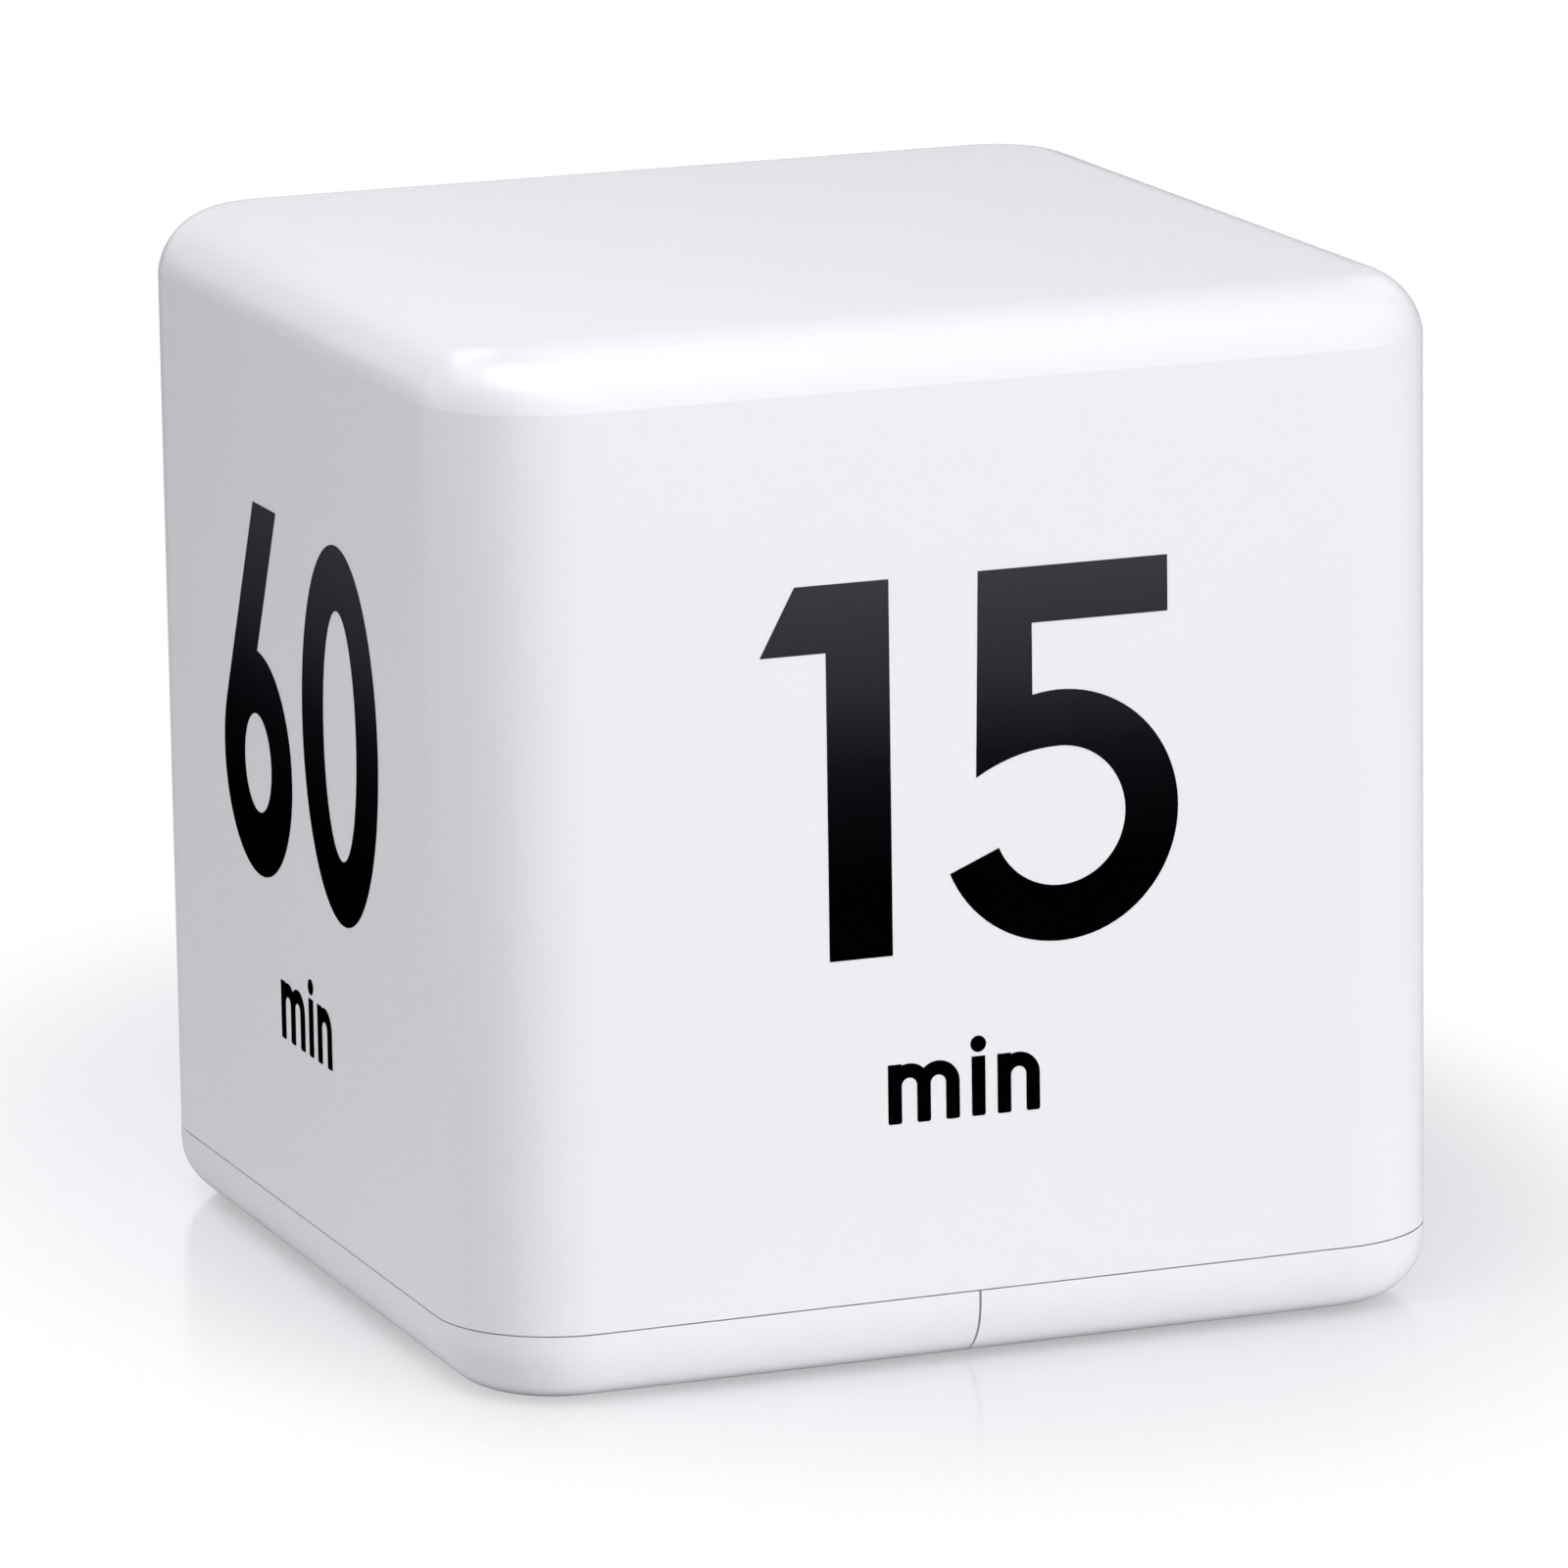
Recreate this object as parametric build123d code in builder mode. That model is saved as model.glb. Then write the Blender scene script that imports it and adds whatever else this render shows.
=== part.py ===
from build123d import *
import math
import os

# Cube timer: turning it onto its base or a side starts the count printed on top.
# Millimetres, origin at the centre of the base, +Z up, figures 15 at -Y and 60 at -X.

os.makedirs("parts", exist_ok=True)

# Outer form
cube_width = 63.5
cube_height = 63.5
corner_radius = 7.6
top_radius = 4.3
base_radius = 3.8
cap_height = 4.5
seam_gap = 0.15
split_gap = 0.15
overrun = 1.0

# Shell and its screw posts
shell_wall = 2.0
post_radius = 3.2
post_height = 14.0
pilot_depth = 8.0
rib_thickness = 1.2
rib_gap = 0.3
post_inset = 4.75
post_near_x = 4.5

# Printed figures, laid flush in the shell's sides
ink_depth = 0.1
figure_height = 22.7
figure_base = 25.6
figure_stem = 4.0
figure_bar = 3.4
word_base = 15.3
letter_height = 3.65
letter_stem = 0.87
letter_arch = 1.36
letter_gap = 0.78
dot_radius = 0.5
dot_gap = 0.25
letter_corner = 0.15

# Bottom housing
floor_thickness = 2.0
lip_height = 2.0
lip_wall = 1.6
lip_clearance = 0.2
divider_wall = 2.2
boss_bore_clearance = 0.15
board_post_radius = 1.9
board_post_gap = 0.6
board_post_lap = 0.6
low_post_y = -17.0
middle_post_y = 5.5
high_post_y = 16.5

# Cells and their bay
cell_diameter = 10.5
cell_length = 44.5
cell_nub_radius = 1.9
cell_nub_length = 0.8
cell_edge = 0.4
cell_side_gap = 0.25
cell_gap = 0.7
cell_floor_gap = 0.1
bay_wall = 1.2
bay_roof_gap = 0.5
bay_right_x = -2.9
spring_length = 4.7

# Contacts and leads
contact_thickness = 0.4
contact_width = 8.6
tab_width = 2.5
tab_clearance = 0.2
tab_rise = 2.4
spring_wire = 0.5
spring_base_radius = 3.6
spring_tip_radius = 2.0
spring_seat_gap = 0.02
lead_radius = 0.6
lead_below_tab = 0.8
lead_pad_inset = 2.4
red_pad_y = -12.6
black_pad_y = -9.8

# Battery door and its runners
door_wall = 2.0
foam_thickness = 0.5
runner_inset = 3.75
runner_web = 1.0
runner_lip = 1.2
runner_lip_height = 1.0
runner_drop = 2.0
runner_end_gap = 2.55
runner_clearance = 0.3
runner_play = 0.2
door_lip_height = 0.6
tongue_width = 10.0
tongue_reach = 2.5
tongue_height = 1.0
tongue_clearance = 0.25
tongue_drop = 0.05
thumb_width = 14.0
thumb_length = 10.0
thumb_depth = 0.8
thumb_ridge = 0.7
thumb_ridge_pitch = 1.75
thumb_ridge_count = 5
arrow_length = 4.3
arrow_width = 7.0
arrow_depth = 0.4
arrow_gap = 5.7
thumb_x = -22.0

# Snap hooks between the housing and the shell
hook_y = 14.0
hook_width = 6.0
hook_thickness = 1.0
hook_height = 6.0
hook_nose = 0.95
hook_x_gap = 0.25
catch_depth = 1.0
catch_height = 1.2
catch_gap = 0.2

# Display, seen from below
display_gap = 0.4
holder_post_gap = 0.1
view_width = 10.0
view_corner = 1.0
view_length = 18.0
glass_width = 14.0
glass_length = 22.0
glass_thickness = 2.6
lens_border = 1.5
lens_thickness = 1.2
lens_recess = 0.2
lens_corner = 1.5
lens_clearance = 0.1
holder_wall = 1.4
holder_clearance = 0.1
strip_width = 2.0
strip_clearance = 0.1

# Circuit board and what is soldered to it
board_bottom = 8.0
board_thickness = 1.2
board_left_gap = 0.3
board_right_gap = 1.25
board_post_clearance = 0.3
chip_radius = 3.2
chip_height = 1.2
chip_x = 11.0
chip_y = 8.0
crystal_radius = 1.0
crystal_length = 6.0
crystal_x = 18.0
crystal_y = 8.5
capacitor_radius = 2.0
capacitor_height = 5.5
capacitor_x = 24.5
capacitor_y = 12.5
resistor_size = (1.25, 2.0, 0.5)
resistor_x = 17.5
resistor_y = 13.0
resistor_pitch = 2.2
resistor_count = 4

# Slide switch
switch_x = 10.6
switch_travel = 2.5
switch_width = 4.0
switch_length = 8.6
switch_height = 3.6
switch_wall = 0.4
lever_side = 1.5
lever_reach = 1.0
knob_width = 3.0
knob_length = 4.0
knob_recess = 0.3
knob_clearance = 0.2
flange_height = 0.7
flange_gap = 0.15
flange_border = 1.0
knob_socket = 1.3
knob_socket_wall = 0.7
finger_dish_depth = 0.9
finger_dish_radius = 7.0

# Buzzer and its sound holes
buzzer_wall_gap = 0.65
buzzer_post_drop = 10.4
buzzer_radius = 6.0
buzzer_port_radius = 1.0
buzzer_port_depth = 1.2
gasket_thickness = 0.4
gasket_width = 1.4
sound_hole_radius = 0.7
sound_ring_radius = 2.6
sound_ring_count = 6

# Tilt switches, one for each side that can face up
tilt_x = 16.0
tilt_y = -5.0
tilt_inner_radius = 3.2
tilt_radius = 2.0
tilt_wall = 0.4
tilt_length = 7.0
tilt_cap = 0.8
tilt_ball_radius = 1.4
tilt_pitch = 15
tilt_board_gap = 0.05
pin_radius = 0.25
pin_spread = 0.9

# Screws
screw_radius = 1.1
screw_length = 9.5
head_radius = 2.1
head_height = 1.6
head_recess = 1.4
head_clearance = 0.25
drive_width = 0.6
drive_length = 2.4
drive_depth = 0.8
board_screw_radius = 0.85
board_screw_length = 4.0
board_head_radius = 1.6
board_head_height = 1.2

# Planes and limits that several pieces share
half = cube_width / 2
shell_inner = half - shell_wall
lip_outer = shell_inner - lip_clearance
tray_inner = lip_outer - lip_wall
door_inner = half - door_wall
shell_bottom = cap_height + seam_gap
deck_top = cap_height + lip_height
split_x = split_gap / 2
divider_x = split_x + divider_wall
post_far = shell_inner - post_inset
corner_posts = [(x, y) for x in (post_far, post_near_x) for y in (-post_far, post_far)]
left_post_x = divider_x + board_post_gap + board_post_radius
right_post_x = tray_inner - board_post_radius + board_post_lap
board_posts = [
    (left_post_x, low_post_y),
    (right_post_x, middle_post_y),
    (left_post_x, high_post_y),
]
board_top = board_bottom + board_thickness
board_left_x = divider_x + board_left_gap
board_right_x = shell_inner - board_right_gap
board_half_y = post_far - post_radius - board_post_clearance
board_bore = board_screw_radius + boss_bore_clearance
head_seat = head_recess + head_height
cell_z = floor_thickness + foam_thickness + cell_floor_gap + cell_diameter / 2
cell_right_x = bay_right_x - cell_side_gap - cell_diameter / 2
cell_left_x = cell_right_x - cell_diameter - cell_gap
bay_left_x = cell_left_x - cell_diameter / 2 - cell_side_gap
bay_y = (cell_length + spring_length) / 2 + contact_thickness
bay_roof = cell_z + cell_diameter / 2 + bay_roof_gap
bay_top = bay_roof + bay_wall
contact_face_y = bay_y - contact_thickness
tab_top = bay_top + tab_rise
lead_z = tab_top - lead_below_tab
holder_width = glass_width + 2 * (holder_clearance + holder_wall)
holder_length = glass_length + 2 * (holder_clearance + holder_wall)
glass_top = floor_thickness + glass_thickness
lens_width = view_width + 2 * lens_border
lens_length = view_length + 2 * lens_border
display_x = left_post_x + board_post_radius + display_gap + holder_width / 2
display_y = post_radius + holder_post_gap + holder_length / 2 - post_far
buzzer_x = tray_inner - buzzer_wall_gap - buzzer_radius
buzzer_y = post_far - buzzer_post_drop
switch_y = buzzer_y
lead_pad_x = board_left_x + lead_pad_inset
runner_web_y = door_inner - runner_inset
runner_reach = lip_outer - runner_end_gap


def block(xs, ys, zs, mode=Mode.ADD):
    """A box between two limits along each axis."""
    with Locations((sum(xs) / 2, sum(ys) / 2, sum(zs) / 2)):
        Box(xs[1] - xs[0], ys[1] - ys[0], zs[1] - zs[0], mode=mode)


def about(centre, width):
    """The two limits of a width about its centre."""
    return (centre - width / 2, centre + width / 2)


def rounded_block(width, length, radius, bottom, height, centre=(0, 0), mode=Mode.ADD):
    """An upright block with rounded corners, standing on one level."""
    with BuildSketch(Plane.XY.offset(bottom)) as outline:
        with Locations(centre):
            RectangleRounded(width, length, radius)
    extrude(outline.sketch, amount=height, mode=mode)


def rod(x, y, bottom, top, radius, mode=Mode.ADD):
    """An upright round rod or hole."""
    with BuildSketch(Plane.XY.offset(bottom)) as outline:
        with Locations((x, y)):
            Circle(radius)
    extrude(outline.sketch, amount=top - bottom, mode=mode)


def write(part, name):
    """Label a finished piece and write its STEP file."""
    part.label = name
    export_step(part, f"parts/{name}.step")


# Printed figures and words
def on_figure(left, across_share, up_share):
    """A point of a figure, from shares of the figures' height."""
    return (left + across_share * figure_height, figure_base + up_share * figure_height)


def figure_one(left):
    """A stem with a slanting flag at its top left."""
    flag_foot_share = 0.82
    flag_lean_share = 0.098
    width_share = 0.359
    right, top = on_figure(left, width_share, 1)
    stem_left = right - figure_stem
    flag_foot = on_figure(left, 0, flag_foot_share)
    with BuildLine() as outline:
        Polyline(
            flag_foot,
            on_figure(left, flag_lean_share, 1),
            (right, top),
            (right, figure_base),
            (stem_left, figure_base),
            (stem_left, flag_foot[1]),
            close=True,
        )
    make_face(outline.edges())


def polar(centre, radius, angle):
    """A point on a circle, with the angle in degrees."""
    turn = math.radians(angle)
    return (centre[0] + radius * math.cos(turn), centre[1] + radius * math.sin(turn))


def figure_five(left):
    """A bar, a stem and an open round bowl whose top runs out flat into the stem."""
    bar_share = 0.533
    bowl_share = 0.336
    bowl_centre = on_figure(left, 0.224, 0.331)
    stem_foot = on_figure(left, -0.010, 0.452)
    tail_angle = 202.5
    outer = bowl_share * figure_height
    inner = outer - figure_bar
    left_x, top = on_figure(left, 0, 1)
    stem_right = left_x + figure_bar
    meet_z = bowl_centre[1] + math.sqrt(outer**2 - (stem_right - bowl_centre[0]) ** 2)
    meet_angle = math.degrees(math.atan2(meet_z - bowl_centre[1], stem_right - bowl_centre[0]))
    outer_middle = (meet_angle + tail_angle - 360) / 2
    inner_middle = (tail_angle + 360 + 90) / 2
    inner_top = (bowl_centre[0], bowl_centre[1] + inner)
    bar_right = on_figure(left, bar_share, 1)[0]
    with BuildLine() as outline:
        Polyline(
            stem_foot,
            (left_x, top),
            (bar_right, top),
            (bar_right, top - figure_bar),
            (stem_right, top - figure_bar),
            (stem_right, meet_z),
        )
        ThreePointArc(
            (stem_right, meet_z),
            polar(bowl_centre, outer, outer_middle),
            polar(bowl_centre, outer, tail_angle),
        )
        Line(polar(bowl_centre, outer, tail_angle), polar(bowl_centre, inner, tail_angle))
        ThreePointArc(
            polar(bowl_centre, inner, tail_angle),
            polar(bowl_centre, inner, inner_middle),
            inner_top,
        )
        TangentArc(inner_top, stem_foot, tangent=(-1, 0))
    make_face(outline.edges())


def figure_six(left):
    """An upright oval ring with a straight bar that leaves its left side as a tangent."""
    width_share = 0.581
    bowl_height_share = 0.626
    bowl_rise_share = 0.276
    bar_left_share = 0.300
    half_width = width_share * figure_height / 2
    half_height = bowl_height_share * figure_height / 2
    centre = (left + half_width, on_figure(left, 0, bowl_rise_share)[1])
    bar_top = on_figure(left, bar_left_share, 1)
    slant = half_width / half_height
    reach_x = bar_top[0] - centre[0]
    reach_z = (bar_top[1] - centre[1]) * slant
    reach = math.hypot(reach_x, reach_z)
    touch = math.atan2(reach_z, reach_x) + math.acos(half_width / reach)
    touch_point = (
        centre[0] + half_width * math.cos(touch),
        centre[1] + half_height * math.sin(touch),
    )
    bar_across = figure_stem * math.dist(bar_top, touch_point) / (bar_top[1] - touch_point[1])
    crown = centre[1] + half_height
    run = (bar_top[0] - touch_point[0]) / (bar_top[1] - touch_point[1])
    bar_foot = (bar_top[0] + bar_across - run * (bar_top[1] - crown), crown)
    with BuildLine() as outline:
        Polyline(
            bar_top,
            (bar_top[0] + bar_across, bar_top[1]),
            bar_foot,
            centre,
            touch_point,
            close=True,
        )
    make_face(outline.edges())
    with Locations(centre):
        Ellipse(half_width, half_height)
        Ellipse(half_width - figure_stem, half_height - figure_stem, mode=Mode.SUBTRACT)


def figure_zero(left):
    """A tall oval ring, a little taller than the straight figures."""
    width_share = 0.625
    height_share = 1.03
    rise_share = 0.487
    half_width = width_share * figure_height / 2
    half_height = height_share * figure_height / 2
    with Locations((left + half_width, on_figure(left, 0, rise_share)[1])):
        Ellipse(half_width, half_height)
        Ellipse(half_width - figure_stem, half_height - figure_stem, mode=Mode.SUBTRACT)


def figure_two(left):
    """A round top that runs down a straight slope to a flat foot."""
    bowl_share = 0.31
    width_share = 0.63
    start_angle = 172
    slope_angle = -38
    outer = bowl_share * figure_height
    inner = outer - figure_stem
    right_x, top = on_figure(left, width_share, 1)
    centre = (left + outer, top - outer)
    slope = math.tan(math.radians(slope_angle + 90))
    outer_end = polar(centre, outer, slope_angle)
    inner_end = polar(centre, inner, slope_angle)
    foot_top = figure_base + figure_bar
    foot_meet = (outer_end[0] - (outer_end[1] - foot_top) / slope, foot_top)
    left_meet = (left, inner_end[1] - (inner_end[0] - left) * slope)
    middle_angle = (start_angle + slope_angle) / 2
    with BuildLine() as outline:
        ThreePointArc(
            polar(centre, outer, start_angle), polar(centre, outer, middle_angle), outer_end
        )
        Polyline(
            outer_end,
            foot_meet,
            (right_x, foot_top),
            (right_x, figure_base),
            (left, figure_base),
            left_meet,
            inner_end,
        )
        ThreePointArc(
            inner_end, polar(centre, inner, middle_angle), polar(centre, inner, start_angle)
        )
        Line(polar(centre, inner, start_angle), polar(centre, outer, start_angle))
    make_face(outline.edges())


def ring_part(centre, outer, inner, start, end):
    """A stretch of a flat ring between two angles."""
    middle = (start + end) / 2
    with BuildLine() as outline:
        ThreePointArc(
            polar(centre, outer, start), polar(centre, outer, middle), polar(centre, outer, end)
        )
        Line(polar(centre, outer, end), polar(centre, inner, end))
        ThreePointArc(
            polar(centre, inner, end), polar(centre, inner, middle), polar(centre, inner, start)
        )
        Line(polar(centre, inner, start), polar(centre, outer, start))
    make_face(outline.edges())


def figure_three(left):
    """Two open bowls on one waist, the lower one larger."""
    lower_share = 0.315
    upper_share = 0.272
    upper_shift_share = 0.03
    overshoot_share = 0.027
    waist_width_share = 1.2
    waist_height_share = 0.9
    upper_ends = (-92, 157)
    lower_ends = (-157, 92)
    lower = lower_share * figure_height
    upper = upper_share * figure_height
    foot = on_figure(left, 0, -overshoot_share)[1]
    head = on_figure(left, 0, 1)[1]
    lower_centre = (left + lower, foot + lower)
    upper_centre = (lower_centre[0] - upper_shift_share * figure_height, head - upper)
    ring_part(lower_centre, lower, lower - figure_stem, *lower_ends)
    ring_part(upper_centre, upper, upper - figure_bar, *upper_ends)
    waist = (upper_centre[1] - upper + lower_centre[1] + lower) / 2
    with Locations((upper_centre[0] - figure_bar / 2, waist)):
        Rectangle(figure_bar * waist_width_share, figure_bar * waist_height_share)


def letter_arch_shape(left):
    """Two legs under a half ring, as in the letters m and n."""
    top = word_base + letter_height
    spring = top - letter_arch
    inner = letter_arch - letter_stem
    right = left + 2 * letter_arch
    with BuildLine() as outline:
        Line((left, word_base), (left, spring))
        ThreePointArc((left, spring), (left + letter_arch, top), (right, spring))
        Line((right, spring), (right, word_base))
        Line((right, word_base), (right - letter_stem, word_base))
        Line((right - letter_stem, word_base), (right - letter_stem, spring))
        ThreePointArc(
            (right - letter_stem, spring),
            (left + letter_arch, spring + inner),
            (left + letter_stem, spring),
        )
        Line((left + letter_stem, spring), (left + letter_stem, word_base))
        Line((left + letter_stem, word_base), (left, word_base))
    make_face(outline.edges())


def letter_leg(left, height):
    """One upright leg of a letter."""
    with Locations((left + letter_stem / 2, word_base + height / 2)):
        Rectangle(letter_stem, height)


def word_min(centre):
    """The word min, centred under the figures."""
    arch_pitch = 2 * letter_arch - letter_stem
    m_width = arch_pitch * 2 + letter_stem
    n_width = 2 * letter_arch
    left = centre - (m_width + letter_gap + letter_stem + letter_gap + n_width) / 2
    i_left = left + m_width + letter_gap
    n_left = i_left + letter_stem + letter_gap
    letter_arch_shape(left)
    letter_arch_shape(left + arch_pitch)
    letter_leg(left, letter_height)
    letter_leg(i_left, letter_height)
    letter_arch_shape(n_left)
    letter_leg(n_left, letter_height)
    with Locations((i_left + letter_stem / 2, word_base + letter_height + dot_gap + dot_radius)):
        Circle(dot_radius)


def side_plane(outward, along):
    """The plane of one side face, with its own Y up the face from the base."""
    centre = Vector(*outward) * half
    return Plane(origin=centre, x_dir=along, z_dir=outward)


def print_on_side(name, plane, figures, word_centre):
    """The inked figures and word on one side, as thin solids flush with the face."""
    with BuildPart() as ink:
        with BuildSketch(plane) as outline:
            for draw, left in figures:
                draw(left)
            word_min(word_centre)
            fillet(outline.vertices().group_by(Axis.Y)[0], radius=letter_corner)
        extrude(amount=-ink_depth)
    write(ink.part, name)
    return ink.part


front = side_plane((0, -1, 0), (1, 0, 0))
left_side = side_plane((-1, 0, 0), (0, -1, 0))
right_side = side_plane((1, 0, 0), (0, 1, 0))
back = side_plane((0, 1, 0), (-1, 0, 0))

# Where each figure starts across its face, and where its word is centred
one_left = -13.5
five_left = 0.3
six_left = -14.05
zero_left = 1.45
pair_left = -15.1
front_word = -0.9
round_word = 0.8
middle_word = 0.0

number_15 = print_on_side(
    "number_15", front, [(figure_one, one_left), (figure_five, five_left)], front_word
)
number_60 = print_on_side(
    "number_60", left_side, [(figure_six, six_left), (figure_zero, zero_left)], round_word
)
number_20 = print_on_side(
    "number_20", right_side, [(figure_two, pair_left), (figure_zero, zero_left)], middle_word
)
number_30 = print_on_side(
    "number_30", back, [(figure_three, pair_left), (figure_zero, zero_left)], middle_word
)

# Shell: five sides in one moulding, open at the base
with BuildPart() as shell_room:
    rounded_block(
        2 * shell_inner,
        2 * shell_inner,
        corner_radius - shell_wall,
        shell_bottom - overrun,
        cube_height - shell_wall - shell_bottom + overrun,
    )
    fillet(shell_room.faces().sort_by(Axis.Z)[-1].edges(), radius=top_radius - shell_wall)

with BuildPart() as main_shell:
    rounded_block(
        cube_width, cube_width, corner_radius, shell_bottom, cube_height - shell_bottom
    )
    fillet(main_shell.faces().sort_by(Axis.Z)[-1].edges(), radius=top_radius)
    add(shell_room.part, mode=Mode.SUBTRACT)
    for post_x, side_y in corner_posts:
        outward_y = math.copysign(shell_inner, side_y)
        rod(post_x, side_y, deck_top, deck_top + post_height, post_radius)
        rib_levels = (deck_top + rib_gap, deck_top + post_height)
        block(about(post_x, rib_thickness), sorted((side_y, outward_y)), rib_levels)
    for side_y in (-post_far, post_far):
        block(
            (post_far, shell_inner),
            about(side_y, rib_thickness),
            (deck_top + rib_gap, deck_top + post_height),
        )
    for post_x, side_y in corner_posts:
        rod(post_x, side_y, deck_top, deck_top + pilot_depth, screw_radius, mode=Mode.SUBTRACT)
    catch_bottom = deck_top + hook_height - catch_height * 2 - catch_gap
    for catch_y in (-hook_y, hook_y):
        block(
            (-shell_inner, -shell_inner + catch_depth),
            about(catch_y, hook_width + 2 * rib_thickness),
            (catch_bottom, catch_bottom + catch_height),
        )
    for inked in (number_15, number_20, number_30, number_60):
        add(inked, mode=Mode.SUBTRACT)
write(main_shell.part, "main_shell")

# Blank of the base cap, which the housing and the door share
with BuildPart() as cap_blank:
    rounded_block(cube_width, cube_width, corner_radius, 0, cap_height)
    fillet(cap_blank.faces().sort_by(Axis.Z)[0].edges(), radius=base_radius)

with BuildPart() as cap_right:
    add(cap_blank.part)
    split(bisect_by=Plane.YZ.offset(split_x), keep=Keep.TOP)

with BuildPart() as cap_left:
    add(cap_blank.part)
    split(bisect_by=Plane.YZ.offset(-split_x), keep=Keep.BOTTOM)

# Bottom housing: the fixed half of the cap, the deck inside the shell and the battery bay
tray_corner = corner_radius - (half - tray_inner)
lip_corner = corner_radius - shell_wall - lip_clearance
rail_low = cap_height - runner_drop
rail_lip_top = rail_low + runner_lip_height
tongue_low = floor_thickness - tongue_height - tongue_drop
tongue_top = tongue_low + tongue_height

with BuildPart() as tray_room:
    rounded_block(
        2 * tray_inner, 2 * tray_inner, tray_corner, floor_thickness, deck_top + overrun
    )
    split(bisect_by=Plane.YZ.offset(divider_x), keep=Keep.TOP)

with BuildPart() as bottom_housing:
    add(cap_right.part)
    rounded_block(2 * lip_outer, 2 * lip_outer, lip_corner, cap_height, lip_height)
    block(
        (bay_left_x - bay_wall, bay_right_x + bay_wall),
        (-bay_y - bay_wall, bay_y + bay_wall),
        (cap_height, bay_top),
    )
    block(
        (bay_left_x, bay_right_x), (-bay_y, bay_y), (cap_height - overrun, bay_roof),
        mode=Mode.SUBTRACT,
    )
    add(tray_room.part, mode=Mode.SUBTRACT)
    for post_x, side_y in corner_posts:
        rod(post_x, side_y, floor_thickness, deck_top, post_radius)
    for post_x, post_place_y in board_posts:
        rod(post_x, post_place_y, floor_thickness, board_bottom, board_post_radius)
    # Runners for the door, with their lips turned outwards
    for side in (-1, 1):
        web = sorted((side * runner_web_y, side * (runner_web_y + runner_web)))
        lip = sorted((side * runner_web_y, side * (runner_web_y + runner_web + runner_lip)))
        block((-runner_reach, divider_x), web, (rail_low, cap_height))
        block((-runner_reach, divider_x), lip, (rail_low, rail_lip_top))
    # Slot for the door's tongue
    block(
        (0, tongue_reach + 2 * tongue_clearance),
        about(0, tongue_width + 2 * tongue_clearance),
        (tongue_low - tongue_clearance, tongue_top + tongue_clearance),
        mode=Mode.SUBTRACT,
    )
    # Slots in the bay's roof for the two solder tabs
    for tab_x in (cell_left_x, cell_right_x):
        block(
            about(tab_x, tab_width + 2 * tab_clearance),
            (-bay_y, -contact_face_y + tab_clearance),
            (bay_roof - overrun, bay_top + overrun),
            mode=Mode.SUBTRACT,
        )
    # Snap hooks that hold the shell beside the bay
    hook_outer = shell_inner - catch_depth - hook_x_gap
    for arm_y in (-hook_y, hook_y):
        block(
            (-hook_outer, -hook_outer + hook_thickness),
            about(arm_y, hook_width),
            (deck_top, deck_top + hook_height),
        )
        block(
            (-hook_outer - hook_nose, -hook_outer),
            about(arm_y, hook_width),
            (deck_top + hook_height - catch_height, deck_top + hook_height),
        )
    # Screw holes, sunk from below, and the holes for the board's screws
    for post_x, side_y in corner_posts:
        rod(post_x, side_y, -overrun, head_seat, head_radius + head_clearance, mode=Mode.SUBTRACT)
        bore = screw_radius + boss_bore_clearance
        rod(post_x, side_y, head_seat, deck_top + overrun, bore, mode=Mode.SUBTRACT)
    for post_x, post_place_y in board_posts:
        rod(
            post_x, post_place_y,
            board_bottom - board_screw_length, board_bottom + overrun,
            board_screw_radius, mode=Mode.SUBTRACT,
        )
    # Window and seat for the display's lens
    rounded_block(
        lens_width + 2 * lens_clearance, lens_length + 2 * lens_clearance, lens_corner,
        -overrun, overrun + lens_recess + lens_thickness,
        centre=(display_x, display_y), mode=Mode.SUBTRACT,
    )
    rounded_block(
        view_width, view_length, view_corner, 0, floor_thickness + overrun,
        centre=(display_x, display_y), mode=Mode.SUBTRACT,
    )
    # Slot for the switch knob in a dish for the finger tip
    with Locations((switch_x, switch_y, -(finger_dish_radius - finger_dish_depth))):
        Sphere(finger_dish_radius, mode=Mode.SUBTRACT)
    slot_length = knob_length + switch_travel + 2 * knob_clearance
    block(
        about(switch_x, knob_width + 2 * knob_clearance),
        about(switch_y, slot_length),
        (-overrun, floor_thickness + overrun),
        mode=Mode.SUBTRACT,
    )
    # Sound holes
    with BuildSketch(Plane.XY.offset(-overrun)):
        with Locations((buzzer_x, buzzer_y)):
            Circle(sound_hole_radius)
            with PolarLocations(sound_ring_radius, sound_ring_count):
                Circle(sound_hole_radius)
    extrude(amount=floor_thickness + 2 * overrun, mode=Mode.SUBTRACT)
write(bottom_housing.part, "bottom_housing")

# Battery door: the sliding half of the cap, hung on the runners by its lips
door_lip_y = runner_web_y + runner_web + runner_clearance
door_lip_low = rail_lip_top + runner_play

with BuildPart() as door_room:
    rounded_block(
        2 * door_inner, 2 * door_inner, corner_radius - door_wall, floor_thickness, cap_height
    )

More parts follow.
